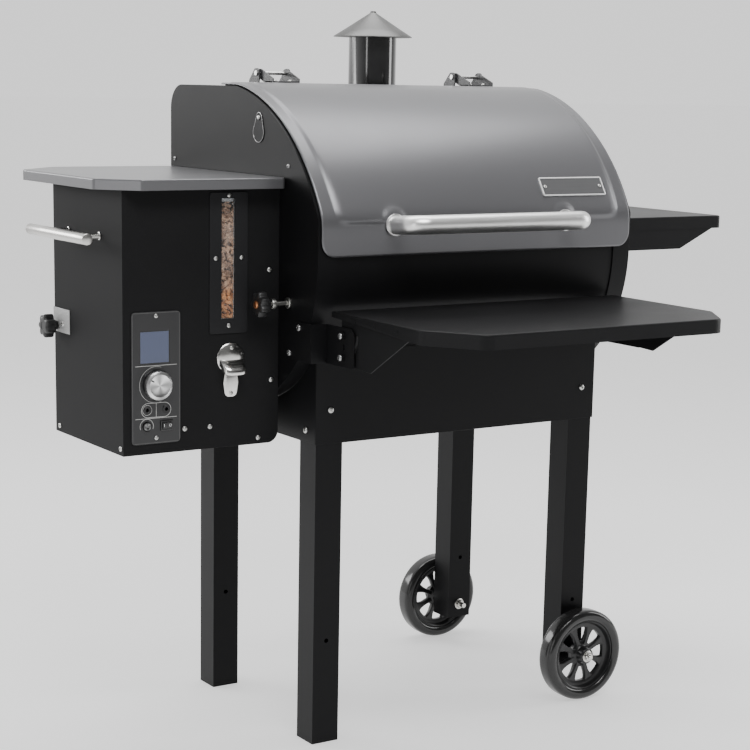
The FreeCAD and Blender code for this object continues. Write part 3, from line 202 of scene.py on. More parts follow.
def meshed(bm, name):
    """A bmesh as a mesh; the bmesh goes."""
    mesh = bpy.data.meshes.new(name)
    bm.to_mesh(mesh)
    bm.free()
    return mesh


def settle(name, mesh, paints, body, slot=None, *stands_for):
    """Hand over a finished mesh as a piece that rides on one body.

    A mesh with several finishes keeps the number of each in its faces."""
    paints = paints if isinstance(paints, (list, tuple)) else [paints]
    marks = [min(f.material_index, len(paints) - 1) for f in mesh.polygons]
    mesh.materials.clear()
    for paint in paints:
        mesh.materials.append(paint.mat)
    mesh.polygons.foreach_set("material_index", marks)
    obj = in_scene(name, mesh)
    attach(obj, body)
    if stands_for:
        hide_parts(*stands_for)


def rounded_edges(mesh, name, width, steps=2, angle=32.0):
    """Break the sharp edges of a mesh by a width in millimetres."""
    tmp = in_scene(name, mesh)
    mod = tmp.modifiers.new("edge", "BEVEL")
    mod.width, mod.segments, mod.limit_method = width / 1000, steps, "ANGLE"
    mod.angle_limit = math.radians(angle)
    flat = tmp.modifiers.new("flats", "WEIGHTED_NORMAL")
    flat.mode, flat.weight, flat.keep_sharp = "FACE_AREA", 100, True
    for f in mesh.polygons:
        f.use_smooth = True
    return applied(tmp, name)


body_of = {n: b for b, ns in frame["record"]["behaviour"]["bodies"].items() for n in ns}
slot_of = {s["node"]: s["material_slot"] for s in frame["record"]["subparts"]}


def eased(name, paint, width=0.5, steps=2):
    """A sub-part in its own shape, with the burrs and folds of the real edges."""
    bm = bmesh.new()
    bm.from_mesh(node[name].data)
    bmesh.ops.remove_doubles(bm, verts=bm.verts, dist=2e-6)
    bmesh.ops.dissolve_limit(bm, angle_limit=math.radians(0.4), verts=bm.verts, edges=bm.edges)
    mesh = rounded_edges(meshed(bm, name + "_blank"), name + "_eased", width, steps)
    settle(name + "_eased", mesh, paint, body_of[name], slot_of[name], name)


black_coat = powder("black_powder_coat", (0.0045, 0.0045, 0.005), 0.42)
for corner in ("front_left", "rear_left", "front_right", "rear_right"):
    eased("leg_" + corner, black_coat, 1.2, 3)

# -------------------- skirt
# A low box of four folded sheets, screwed round the tops of the legs; the drum
# of the barrel rests in its cut-outs.  Its front is plain.
for side in ("front", "rear", "left", "right"):
    eased("skirt_" + side, black_coat, 0.6)

# -------------------- barrel
# Two deep drawn end pans and a rolled sheet between them make the chamber.  The
# rims of the pans have a soft outer edge that catches the light.
for side in ("left", "right"):
    eased("end_cap_" + side, black_coat, 0.8, 3)
eased("barrel_shell", black_coat, 0.4)

# -------------------- lid
# One sheet rolled to the arch of the pans: a raised field is pressed into it,
# its border is hemmed, and two bosses back the handle.  Satin metallic grey.
lid_low, lid_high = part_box("lid_shell")


def at(x, y, z):
    """A point given in millimetres from the middle of the barrel, on the floor."""
    return Vector((ox + x / 1000, oy + y / 1000, z / 1000))


def lid_section():
    """Side profile of the lid's outer skin: plain (y, z) points, 2 mm apart."""
    top, front, foot = lid_high.z * 1000 - 1.5, -267.0, lid_low.z * 1000
    cy, cz, rad = 79.0, 768.0, 380.0
    a0 = math.asin((cy - 24.0) / rad)
    a1 = math.asin((cy - front) / rad)
    line = [(84.0 - 2.0 * i, top) for i in range(31)]
    n = 190
    line += [(cy - rad * math.sin(a0 + (a1 - a0) * i / n), cz + rad * math.cos(a0 + (a1 - a0) * i / n))
             for i in range(1, n + 1)]
    z = line[-1][1]
    drop = int((z - foot) / 2)
    line += [(front, z - (z - foot) * i / drop) for i in range(1, drop + 1)]
    for _ in range(60):     # the rolls soften both bends of the sheet
        line = [line[0]] + [tuple((a + 2 * b + c) / 4 for a, b, c in zip(*trio))
                            for trio in zip(line, line[1:], line[2:])] + [line[-1]]
    return line


lid_line = lid_section()
lid_run = [0.0]
for a, b in zip(lid_line, lid_line[1:]):
    lid_run.append(lid_run[-1] + math.dist(a, b))
boss_half, boss_shift, boss_z = 181.0, -7.0, 922.0      # the handle's bosses


def on_lid(run):
    """Point and outward normal of the lid's skin, a way along its profile."""
    i = min(max(sum(r < run for r in lid_run) - 1, 0), len(lid_line) - 2)
    t = (run - lid_run[i]) / (lid_run[i + 1] - lid_run[i])
    a, b = Vector(lid_line[i]), Vector(lid_line[i + 1])
    i0, i1 = max(i - 3, 0), min(i + 4, len(lid_line) - 1)
    d = (Vector(lid_line[i1]) - Vector(lid_line[i0])).normalized()
    p = a.lerp(b, t)
    return p, Vector((d.y, -d.x))       # the profile runs forward and down


def run_at(z):
    """Way along the profile at which the front of the lid has this height."""
    return min((abs(p[1] - z), r) for p, r in zip(lid_line, lid_run) if p[0] < 0)[1]


def soft_step(x):
    x = min(max(x, 0.0), 1.0)
    return x * x * (3 - 2 * x)


def inside(x, y, half, edge, rad):
    """Distance inside a strip of half width half that ends at y = edge, corners rounded."""
    dx, dy = abs(x) - half + rad, y - edge + rad
    return rad - math.hypot(max(dx, 0), max(dy, 0)) - min(max(dx, dy), 0)


def spread(stops, fine, coarse, near):
    """Values from the first stop to the last, finely spaced near the inner stops."""
    out, x = [], stops[0]
    while x < stops[-1]:
        out.append(x)
        x += fine if min(abs(x - s) for s in stops) < near else coarse
    return out + [stops[-1]]


def lid_sheet():
    """The lid's outer skin with its field, bosses and hem, given the gauge of the sheet."""
    corner, field_half, boss_r, hem_r = 26.0, 314.0, 13.0, 3.0
    end, crease, boss_run = lid_run[-1], run_at(914.0), run_at(boss_z)
    half = (lid_high.x - lid_low.x) * 500
    across = spread([0.0, 158.0, 182.0, 206.0, 307.0, half], 1.6, 8.0, 12.0)
    across = [-x for x in reversed(across[1:])] + across
    along = spread([0.0, crease - 20.0, crease, end], 1.6, 6.0, 14.0)
    bm = bmesh.new()
    rows = []
    for run in along:
        p, n = on_lid(run)
        wide = half - corner + math.sqrt(max(corner ** 2 - max(corner - end + run, 0) ** 2, 0))
        row = []
        for x in across:
            x = x * wide / half
            field = inside(x, run, field_half - 12.0 * (run / crease) ** 2, crease, corner)
            lift = (1.6 + 1.0 * soft_step((run - 66) / 40)) * soft_step(field / 10.0)
            for side in (-1, 1):
                away = math.hypot(x - boss_shift - side * boss_half, run - boss_run)
                lift += 2.2 * (1 - soft_step((away - boss_r) / 16))
            hem = min(inside(x, run, half, end, corner), run + hem_r)
            lift -= 2.4 * (1 - math.sqrt(max(1 - max(1 - hem / hem_r, 0) ** 2, 0)))
            row.append(bm.verts.new(at(x, p.x + n.x * lift, p.y + n.y * lift)))
        rows.append(row)
    for r0, r1 in zip(rows, rows[1:]):
        for i in range(len(across) - 1):
            f = bm.faces.new((r0[i], r1[i], r1[i + 1], r0[i + 1]))
            f.smooth = True
    tmp = in_scene("lid_sheet", meshed(bm, "lid_sheet"))
    wall = tmp.modifiers.new("gauge", "SOLIDIFY")
    wall.thickness, wall.offset = 0.0014, -1.0
    return applied(tmp, "lid_sheet")


def metallic_grey(name, colour):
    """Satin silver-grey stoving paint with fine flake and a slight peel."""
    p = Paint(name, colour, 0.62, 0.34, Coat_Weight=0.18, Coat_Roughness=0.3)
    flake = p.cells(2600.0)
    cloud = p.noise(4.0, 3.0)
    p.shade(flake * 0.8 + cloud * 0.4, colour, 1.2, 0.85)
    p.set("Roughness", cloud * 0.08 + 0.31)
    return p.bump(p.noise(1400.0, 2.0), 0.00004, 0.35)


lid_paint = metallic_grey("grey_lid_paint", (0.137, 0.137, 0.144))
settle("lid_sheet", lid_sheet(), lid_paint, "lid", "lid_paint", "lid_shell")


# -------------------- lid handle
# Thick stainless tube bent back to the lid at both ends, brushed along its
# length, with a collar welded on where each end meets a boss.
def circle(r, z, n, start=0.0):
    """Ring of n points of radius r at height z."""
    angles = [2 * math.pi * (i + start) / n for i in range(n)]
    return [(r * math.cos(a), r * math.sin(a), z) for a in angles]


def finished(bm, name, smooth=34.0, shut=None, outward=True):
    """A bmesh as a mesh, smooth but for edges past an angle; shut is an end ring to close."""
    if shut:
        bm.faces.new(list(reversed(shut))).material_index = 0
    if outward:
        bmesh.ops.recalc_face_normals(bm, faces=bm.faces)
    for f in bm.faces:
        f.smooth = True
    for e in bm.edges:
        e.smooth = len(e.link_faces) == 2 and e.calc_face_angle(0.0) < math.radians(smooth)
    return meshed(bm, name)


def arc(cx, cy, rad, start, stop, n=8):
    """Points on an arc, angles in degrees."""
    return [(cx + rad * math.cos(math.radians(start + (stop - start) * i / n)),
             cy + rad * math.sin(math.radians(start + (stop - start) * i / n))) for i in range(n + 1)]


def brushed(name, colour, rough, along, grain=1.0, metallic=1.0):
    """Brushed metal: fine scratches that run along x, y or z."""
    p = Paint(name, colour, metallic, rough)
    scale = [900.0 * grain] * 3
    scale["xyz".index(along)] = 9.0 * grain
    line = p.noise(1.0, 4.0, 0.7, p.stretch(*scale))
    cloud = p.noise(14.0, 2.0)
    p.shade(line * 0.7 + cloud * 0.3, colour, 0.72, 1.2)
    p.set("Roughness", line * 0.16 + (rough - 0.08))
    return p.bump(line, 0.00003, 0.5)


def tied(bm, r0, r1, mark=0):
    """One closed band of quads between two rings of vertices."""
    for i in range(len(r0)):
        j = (i + 1) % len(r0)
        bm.faces.new((r0[i], r0[j], r1[j], r1[i])).material_index = mark


def bands(bm, rings, close_last=True, first=None, mark=0):
    """Skin between rings of points of equal count; returns the rings' vertices."""
    made = ([first] if first else []) + [[bm.verts.new(p) for p in ring] for ring in rings]
    for r0, r1 in zip(made, made[1:]):
        tied(bm, r0, r1, mark)
    if close_last:
        bm.faces.new(made[-1]).material_index = mark
    return made


tube_steel = brushed("handle_steel", (0.93, 0.92, 0.9), 0.36, "x")
grip_low, grip_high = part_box("lid_handle")
bend, tube_r, stand_off = 24.0, 16.0, 64.0
tilt = math.radians(4.0)        # the ends point a little upwards
root_y, root_z = -269.6, (grip_high.z + grip_low.z) * 500 + 1.0
collar = [(-boss_half, s, r) for s, r in ((0, 18.4), (0.6, 19), (2.8, 19), (3.4, 18), (3.5, tube_r))]
elbow = [(x, -y, tube_r) for x, y in arc(bend - boss_half, bend - stand_off, bend, 180, 270, 12)]
half_line = collar + elbow + [(-60.0, stand_off, tube_r)]
line = half_line + [(-x, s, r) for x, s, r in reversed(half_line)]
rings = []
for i, (x, s, r) in enumerate(line):
    ahead, behind = line[min(i + 1, len(line) - 1)], line[max(i - 1, 0)]
    way = (Vector(ahead[:2]) - Vector(behind[:2])).normalized()
    ring = []
    for across, high, _ in circle(r, 0, 48):
        reach = s + way.x * across
        y = root_y - reach * math.cos(tilt) + high * math.sin(tilt)
        z = root_z + reach * math.sin(tilt) + high * math.cos(tilt)
        ring.append(at(x - way.y * across + boss_shift, y, z))
    rings.append(ring)
bm = bmesh.new()
tube = finished(bm, "grip_tube", 50.0, bands(bm, rings)[0])
settle("lid_grip", tube, tube_steel, "lid", "brushed_steel", "lid_handle")


# -------------------- badge plate
# Small pressed aluminium plate, left blank: a dark face inside a bright raised
# border, held by two rivets.
def rounded(corners, rad, inset=0.0, n=5):
    """Convex outline with round corners, moved inwards by an inset."""
    pts = [Vector(c) for c in corners]
    area = sum(a.x * b.y - b.x * a.y for a, b in zip(pts, pts[1:] + pts[:1]))
    if area < 0:
        pts.reverse()
    lines = []
    for a, b in zip(pts, pts[1:] + pts[:1]):
        d = (b - a).normalized()
        lines.append((a + Vector((-d.y, d.x)) * inset, d))
    out = []
    for (p, d), (q, e) in zip(lines[-1:] + lines[:-1], lines):
        t = ((q - p).x * e.y - (q - p).y * e.x) / (d.x * e.y - d.y * e.x)
        corner = p + d * t
        r = max((rad(corner) if callable(rad) else rad) - inset, 0.05)
        turn = math.acos(max(min(d.dot(e), 1), -1))
        back = r * math.tan(turn / 2)
        c = corner - d * back + Vector((-d.y, d.x)) * r
        a0 = math.atan2((corner - d * back - c).y, (corner - d * back - c).x)
        out += [(c.x + r * math.cos(a0 + turn * i / n), c.y + r * math.sin(a0 + turn * i / n))
                for i in range(n + 1)]
    return out


def box_of(x0, x1, y0, y1):
    """Corners of an upright rectangle."""
    return [(x0, y0), (x1, y0), (x1, y1), (x0, y1)]


def plaque(name, corners, rad, put, thick, rim=0.0, sink=0.0, edge=0.5):
    """Plate with rounded edges and, where rim is given, a raised border (slot 1)."""
    bm = bmesh.new()
    def ring(inset, z): return [put(x, y, z) for x, y in rounded(corners, rad, inset)]
    rings = [ring(0, 0), ring(0, thick - edge), ring(edge * 0.3, thick - edge * 0.3), ring(edge, thick)]
    back = bands(bm, rings, not rim, mark=1 if rim else 0)
    if rim:
        front = bands(bm, [ring(rim, thick), ring(rim + 0.2, thick - sink)], True, back[-1], 1)
        bm.faces.ensure_lookup_table()
        bm.faces[-1].material_index = 0
    return finished(bm, name, shut=back[0])


badge_x, field_rise = 208.0, 2.9        # middle of the badge; what it stands on
badge_p, badge_n = on_lid(run_at(971.0))
down = Vector((-badge_n.y, badge_n.x))


def on_badge(x, y, z):
    q = badge_p + badge_n * (field_rise + z) - down * y
    return at(badge_x + x, q.x, q.y)


badge_face = brushed("badge_face", (0.085, 0.085, 0.088), 0.42, "x", 0.6, 0.2)
badge_rim = brushed("badge_rim", (0.8, 0.8, 0.8), 0.35, "x", 0.6, 0.2)
plate = plaque("badge_plate", box_of(-71, 71, -18.5, 18.5), 3.0, on_badge, 2.4, 2.2, 0.8)
settle("badge_plate", plate, [badge_face, badge_rim], "lid", "badge_aluminium", "lid_plate")


# -------------------- lid hinges
# Pressed steel ears on the fixed top and on the lid, with a bright pin through
# them.  Sprayed in a hammered, speckled grey; round bolts hold the feet.
def hammered(name, colour, light, rough, grain, depth):
    """Hammer finish: little dimples and lighter specks of the paint's own, with painted shade that darkens
    the dimples' hollows and lightens their ridges.
    """
    p = Paint(name, colour, 0.15, rough, IOR=1.5)
    dimple = p.cells(grain, "SMOOTH_F1")
    speck = p.ramp(p.noise(grain * 1.6, 2.0), 0.5, 0.68)
    # Painted shade: part of the colour follows the dimples' depth, darker in the hollows and lighter on
    # the ridges; the specks are the paint's own.
    p.blend(speck * 0.7 + dimple * 0.3, colour, light)
    p.set("Roughness", dimple * 0.15 + (rough - 0.05))
    return p.bump(dimple, depth, 0.5)


def lathe(name, along, middle, profile, sides=64, smooth=34.0):
    """Turned mesh about an axis; profile is (way along, radius) in millimetres."""
    bm = bmesh.new()
    i = "xyz".index(along)
    axes = [Vector(row) for row in Matrix.Identity(3)]
    u, v, w = axes[i - 2], axes[i - 1], axes[i]
    rings = [[bm.verts.new(middle + (w * a + u * x + v * y) / 1000)
              for x, y, _ in circle(r, 0, sides if r > 1e-6 else 1)] for a, r in profile]
    for r0, r1 in zip(rings, rings[1:]):
        for i in range(sides):
            j = (i + 1) % sides
            loop = [r0[i % len(r0)], r0[j % len(r0)], r1[j % len(r1)], r1[i % len(r1)]]
            loop = [x for k, x in enumerate(loop) if x not in loop[:k]]
            if len(loop) > 2:
                bm.faces.new(loop)
    if len(rings[0]) > 1 and len(rings[-1]) > 1:
        tied(bm, rings[-1], rings[0])
    return finished(bm, name, smooth)


def mirrored(half):
    """A turned profile, given up to its middle, with its mirror image."""
    return half + [(-a, r) for a, r in reversed(half)]


def joined(name, meshes):
    """Several meshes as one; an item may be (mesh, material slot)."""
    bm = bmesh.new()
    for item in meshes:
        mesh, slot = item if isinstance(item, tuple) else (item, 0)
        before = len(bm.faces)
        bm.from_mesh(mesh)
        bm.faces.ensure_lookup_table()
        for f in bm.faces[before:]:
            f.material_index = slot
        bpy.data.meshes.remove(mesh)
    return meshed(bm, name)


def prism(name, low, high, corners, rad=0.8):
    """Plate cut to an outline in y and z, between two values of x."""
    return plaque(name, corners, rad, lambda y, z, x: at(low + x, y, z), high - low, edge=0.25)


def leaf(name, mid, half, foot_y, low, outline, corner):
    """Foot plate and its two upright cheeks, all of 2.5 mm sheet."""
    def on_foot(x, y, z): return at(mid + x, y, low + z)
    foot = plaque(name, box_of(-half, half, *foot_y), 2.5, on_foot, 2.5, edge=0.4)
    return [foot] + [prism(name, x, x + 2.5, outline, lambda c: 6.5 if c.y > 1160 else corner)
                     for x in (mid - half, mid + half - 2.5)]


hinge_coat = hammered("hinge_hammered_coat", (0.018, 0.018, 0.019), (0.17, 0.17, 0.175),
                      0.36, 420.0, 0.0003)
pin_steel = brushed("hinge_pin_steel", (0.75, 0.75, 0.74), 0.28, "x", 0.5)
hinge_mids, pin_y, pin_z = (-215.0, 215.0), 100.0, 1162.0
cheek = [(91.5, 1151), (96, 1137.2), (128, 1137.2), (128, 1149.5), (107, 1170.5), (93, 1170.5)]
ear = [(50, 1145.8), (82, 1145.8), (106, 1156), (108, 1169.5), (94, 1169.5), (50, 1153)]
pin = mirrored([(-35.5, 0), (-35.5, 4.4), (-35.0, 4.8), (-33.1, 4.8), (-33.1, 3.0)])
fixed, moving = [], []
for mid in hinge_mids:
    fixed += leaf("cheek", mid, 33.0, (96.0, 128.0), 1137.2, cheek, 0.8)
    fixed.append((lathe("pin", "x", at(mid, pin_y, pin_z), pin, 32), 1))
    moving += leaf("ear", mid, 28.0, (50.0, 82.0), 1145.8, ear, 1.2)
settle("hinge_feet", joined("hinge_feet", fixed), [hinge_coat, pin_steel],
       "frame", "hinge_paint", "lid_hinge_base")
settle("hinge_ears", joined("hinge_ears", moving), hinge_coat, "lid", "hinge_paint", "lid_hinge_ears")


# Screws, bolts and rivets are one blank each, set out by a jig on points that
# carry the way they face and their size.
class Jig:
    """A Geometry Nodes tree whose sizes are named inputs."""

    def __init__(self, name, **sizes):
        self.tree = bpy.data.node_groups.new(name, "GeometryNodeTree")
        face = self.tree.interface
        face.new_socket("blank", in_out="INPUT", socket_type="NodeSocketGeometry")
        self.ids, self.sizes = {}, sizes
        for key, x in sizes.items():
            kind = {int: "NodeSocketInt", float: "NodeSocketFloat"}.get(type(x), "NodeSocketMaterial")
            self.ids[key] = face.new_socket(key, in_out="INPUT", socket_type=kind).identifier
        face.new_socket("made", in_out="OUTPUT", socket_type="NodeSocketGeometry")
        self.entry = self.tree.nodes.new("NodeGroupInput")
        self.exit = self.tree.nodes.new("NodeGroupOutput")

    def size(self, key):
        return self.entry.outputs[key]

    def add(self, kind, sockets, settings=None):
        return wired(self.tree, kind, settings or {}, sockets)

    def sum(self, operation, a, b):
        return self.add("ShaderNodeMath", {0: a, 1: b}, {"operation": operation})

    def named(self, key, kind):
        return self.add("GeometryNodeInputNamedAttribute", {"Name": key}, {"data_type": kind})

    def tube(self, curve, sides, radius):
        """Sweep a round section, its radius one of the named sizes, along a curve."""
        ring = self.add("GeometryNodeCurvePrimitiveCircle",
                        {"Resolution": sides, "Radius": self.size(radius)})
        return self.add("GeometryNodeCurveToMesh",
                        {"Curve": curve, "Profile Curve": ring, "Fill Caps": True})

    def join(self, parts):
        group = self.tree.nodes.new("GeometryNodeJoinGeometry")
        for part in parts:
            self.tree.links.new(part, group.inputs[0])
        return group.outputs[0]

    def make(self, name, mesh, geometry):
        """End the tree, run it on a blank mesh, and return what it makes as a mesh."""
        made = self.add("GeometryNodeRealizeInstances", {"Geometry": geometry})
        made = self.add("GeometryNodeSetMaterial", {"Geometry": made, "Material": self.size("finish")})
        self.tree.links.new(made, self.exit.inputs[0])
        obj = in_scene(name, mesh)
        mod = obj.modifiers.new(name, "NODES")
        mod.node_group = self.tree
        for key, ident in self.ids.items():
            x = self.sizes[key]
            mod[ident] = x.mat if isinstance(x, Paint) else x
        return applied(obj, name)


def screw_blank(recess=True):
    """Pan head of radius 1 that stands on z = 0, with a cross recess in its crown."""
    bm = bmesh.new()
    levels = [(1.0, -0.1), (1.0, 0.18), (0.93, 0.38), (0.76, 0.52)] + ([] if recess else [(0.4, 0.6)])
    made = bands(bm, [circle(r, z, 20) for r, z in levels], not recess)
    if recess:
        a, b = 0.16, 0.56
        arm = [(b, -a), (b, a), (a, a), (a, b), (-a, b), (-a, a)]
        plus = arm + [(-x, -y) for x, y in arm]
        lip = [bm.verts.new((x, y, 0.58)) for x, y in plus]
        edges = [bm.edges.new((lip[i], lip[(i + 1) % 12])) for i in range(12)]
        outer = [bm.edges.get((made[-1][i], made[-1][(i + 1) % 20])) for i in range(20)]
        bmesh.ops.bridge_loops(bm, edges=edges + outer)
        floor = [bm.verts.new((x * 0.75, y * 0.75, 0.2)) for x, y in plus]
        tied(bm, lip, floor)
        bm.faces.new(floor)
    return finished(bm, "head", 40.0)


def bolt_blank():
    """Hexagon nut of radius 1 on a washer, with the end of its bolt."""
    bm = bmesh.new()
    def ring(r, z): return circle(r, z, 24, 0.5)
    def hexed(z):
        out = []
        for x, y, _ in ring(1.0, z):
            flat = max(abs(math.cos(math.atan2(y, x) - k * math.pi / 3)) for k in range(6))
            out.append((x / flat * 0.87, y / flat * 0.87, z))
        return out
    bands(bm, [ring(1.3, 0.0), ring(1.3, 0.12), ring(1.22, 0.18), hexed(0.18), hexed(0.75),
               ring(0.82, 0.9), ring(0.5, 0.9), ring(0.5, 1.25), ring(0.38, 1.4)])
    return finished(bm, "nut", 30.0)


def set_out(name, blank, places, paint):
    """Put the blank on each place: (point, facing, radius in mm, spin in degrees)."""
    mesh = blank.copy()
    first = len(mesh.vertices)
    mesh.vertices.add(len(places))
    for key, kind in (("spot", "BOOLEAN"), ("turn", "FLOAT_VECTOR"), ("grow", "FLOAT")):
        mesh.attributes.new(key, kind, "POINT")
    for i, (p, facing, rad, spin) in enumerate(places, first):
        mesh.vertices[i].co = p
        mesh.attributes["spot"].data[i].value = True
        stop = Matrix.Rotation(math.radians(spin), 3, "Z").to_quaternion()
        turn = Vector(facing).to_track_quat("Z", "Y") @ stop
        mesh.attributes["turn"].data[i].vector = turn.to_euler()
        mesh.attributes["grow"].data[i].value = rad / 1000
    jig = Jig("fastener_jig", scale=1.0, finish=paint)
    spots = jig.add("GeometryNodeSeparateGeometry",
                    {0: jig.size("blank"), "Selection": jig.named("spot", "BOOLEAN")},
                    {"domain": "POINT"})
    one = spots.node.outputs[1]
    turned = jig.add("FunctionNodeEulerToRotation", {0: jig.named("turn", "FLOAT_VECTOR")})
    size = jig.sum("MULTIPLY", jig.named("grow", "FLOAT"), jig.size("scale"))
    heads = jig.add("GeometryNodeInstanceOnPoints",
                    {"Points": spots, "Instance": one, "Rotation": turned, "Scale": size})
    mesh = jig.make(name, mesh, heads)
    for key in ("spot", "turn", "grow"):
        if key in mesh.attributes:
            mesh.attributes.remove(mesh.attributes[key])
    return mesh


def fasten(name, blank, places, paint, body, *stands_for):
    """Set fasteners out on their places and hand them over as one piece."""
    settle(name, set_out(name, blank, places, paint), paint, body, "zinc_fastener", *stands_for)


zinc = brushed("zinc_plate", (0.62, 0.62, 0.6), 0.3, "z", 0.5)
pan_head, button_head, hex_nut = screw_blank(), screw_blank(False), bolt_blank()
hinge_bolts, ear_bolts = [], []
for mid in hinge_mids:
    for x in (-16, 16):
        hinge_bolts.append((at(mid + x, pin_y + 17, 1139.7), (0, 0, 1), 4.2, 20 + x))
        ear_bolts.append((at(mid + x, pin_y - 35, 1148.3), (0, 0, 1), 4.2, 50 + x))
fasten("hinge_foot_bolts", button_head, hinge_bolts, zinc, "frame")
fasten("ear_bolts", button_head, ear_bolts, zinc, "lid")


# -------------------- rope seals
# Braided glass rope glued round the rim of each pan, where the lid closes.
def strand_seal(name, x, paint):
    """Rope along the arch: three twisted strands swept by the jig."""
    line = lid_line[::3]
    mesh = bpy.data.meshes.new(name)
    pts = []
    for i, (y, z) in enumerate(line):
        a, b = line[max(i - 1, 0)], line[min(i + 1, len(line) - 1)]
        d = Vector((b[0] - a[0], b[1] - a[1])).normalized()
        if z > 890:
            pts.append(at(x, y - d.y * 3.4, z + d.x * 3.4))
    mesh.from_pydata(pts, [(i, i + 1) for i in range(len(pts) - 1)], [])
    jig = Jig("rope_jig", radius=0.0021, twist=0.0011, turns=95.0, finish=paint)
    curve = jig.add("GeometryNodeMeshToCurve", {"Mesh": jig.size("blank")})
    curve = jig.add("GeometryNodeResampleCurve", {"Curve": curve, "Count": 700})
    way = jig.add("GeometryNodeSplineParameter", {})
    angle = jig.sum("MULTIPLY", jig.sum("MULTIPLY", way, jig.size("turns")), 2 * math.pi)
    strands = []
    for k in range(3):
        a = jig.sum("ADD", angle, 2 * math.pi * k / 3)
        dx = jig.sum("MULTIPLY", jig.sum("COSINE", a, 0.0), jig.size("twist"))
        dz = jig.sum("MULTIPLY", jig.sum("SINE", a, 0.0), jig.size("twist"))
        off = jig.add("ShaderNodeCombineXYZ", {0: dx, 2: dz})
        moved = jig.add("GeometryNodeSetPosition", {"Geometry": curve, "Offset": off})
        strands.append(jig.tube(moved, 6, "radius"))
    return jig.make(name, mesh, jig.join(strands))


rope = Paint("seal_rope", (0.035, 0.034, 0.032), 0.0, 0.85)
yarn = rope.noise(700.0, 3.0)
rope.blend(yarn, (0.015, 0.015, 0.015), (0.07, 0.068, 0.062))
rope.bump(rope.noise(2200.0, 2.0), 0.0002, 0.7)
seals = [strand_seal("seal_" + side, x, rope) for side, x in (("left", -318.0), ("right", 318.0))]
settle("rope_seals", joined("rope_seals", seals), rope, "frame", "rope_seal", "lid_gasket")


# -------------------- grates
# Wire grates with a heavy frame and thin cross rods, dipped in matt porcelain
# enamel.  The rods are set along the frame by a jig.
def grate(part, name, step, paint):
    """A grate in the place and size of a sub-part, its rods a step apart."""
    low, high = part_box(part)
    mesh = bpy.data.meshes.new(name)
    x0, x1, y0, y1 = low.x + 0.0035, high.x - 0.0035, low.y + 0.0035, high.y - 0.0035
    z = (low.z + high.z) / 2
    corners = [(x, y, z) for x, y in box_of(x0, x1, y0, y1)]
    mesh.from_pydata(corners, [(0, 1), (1, 2), (2, 3), (3, 0)], [])
    count = 2 * int(((x1 - x0) / 2 - 0.01) / step) + 1
    jig = Jig("grate_jig", frame=0.0034, rods=0.0023, count=count, step=step, finish=paint)
    border = jig.add("GeometryNodeMeshToCurve", {"Mesh": jig.size("blank")})
    border = jig.add("GeometryNodeFilletCurve", {"Curve": border, "Radius": 0.006, "Count": 5},
                     {"mode": "POLY"})
    border = jig.tube(border, 12, "frame")
    span = jig.sum("MULTIPLY", jig.sum("SUBTRACT", jig.size("count"), 1.0), jig.size("step"))
    first = jig.sum("ADD", jig.sum("MULTIPLY", span, -0.5), (x0 + x1) / 2)
    start = jig.add("ShaderNodeCombineXYZ", {0: first, 1: (y0 + y1) / 2, 2: z})
    pitch = jig.add("ShaderNodeCombineXYZ", {0: jig.size("step")})
    row = jig.add("GeometryNodeMeshLine",
                  {"Count": jig.size("count"), "Start Location": start, "Offset": pitch})
    wire = jig.add("GeometryNodeMeshCylinder",
                   {"Vertices": 10, "Radius": jig.size("rods"), "Depth": y1 - y0})
    rods = jig.add("GeometryNodeInstanceOnPoints",
                   {"Points": row, "Instance": wire, "Rotation": (math.pi / 2, 0, 0)})
    made = jig.make(name, mesh, jig.join([border, rods]))
    for f in made.polygons:
        f.use_smooth = len(f.vertices) == 4
    settle(name, made, paint, "frame", slot_of[part], part)


enamel = Paint("grate_enamel", (0.014, 0.014, 0.014), 0.0, 0.38, IOR=1.5)
burnt = enamel.ramp(enamel.noise(60.0, 4.0), 0.5, 0.7)
enamel.blend(burnt, (0.011, 0.011, 0.011), (0.03, 0.024, 0.018))
enamel.bump(enamel.noise(260.0, 3.0), 0.0002, 0.5)
grate("cooking_grate", "cooking_grate_rods", 0.024, enamel)
grate("warming_rack", "warming_rack_rods", 0.036, enamel)


# -------------------- drip tray, fire pot, ash cup
# Bent and turned from bare sheet: the tray slopes the fat away, the pot burns
# the pellets and takes on straw and blue heat tints, and the cup holds the ash.
def bare_sheet(name, colour, rough, heat=0.0):
    """Mill finish sheet, with heat tints that rise with the given amount."""
    p = Paint(name, colour, 1.0, rough)
    cloud = p.noise(9.0, 5.0, 0.6)
    streak = p.noise(1.0, 3.0, 0.6, p.stretch(6.0, 260.0, 260.0))
    base = p.between(cloud, tuple(c * 0.75 for c in colour), colour)
    if heat:
        base = p.between(p.ramp(cloud, 0.42, 0.62) * heat, base, (0.34, 0.2, 0.09))
        base = p.between(p.ramp(cloud, 0.6, 0.78) * heat, base, (0.09, 0.1, 0.19))
    p.set("Base Color", base)
    p.set("Roughness", streak * 0.2 + cloud * 0.1 + (rough - 0.12))
    return p.bump(streak, 0.00004, 0.5)


tray_steel = bare_sheet("tray_steel", (0.42, 0.41, 0.39), 0.42, 0.25)
pot_steel = bare_sheet("pot_steel", (0.36, 0.35, 0.33), 0.45, 0.8)
eased("drip_tray", tray_steel, 0.35)
eased("fire_pot", pot_steel, 0.5)
eased("ash_cup", tray_steel, 0.5)

# -------------------- flame slide
# A plate on a steel rod lies over the fire pot; the rod comes out through the
# left pan and ends in a black lobed knob with a copper coloured nut.
slide_steel = brushed("slide_steel", (0.4, 0.4, 0.38), 0.34, "x", 0.8)
eased("flame_slide", slide_steel, 0.5)


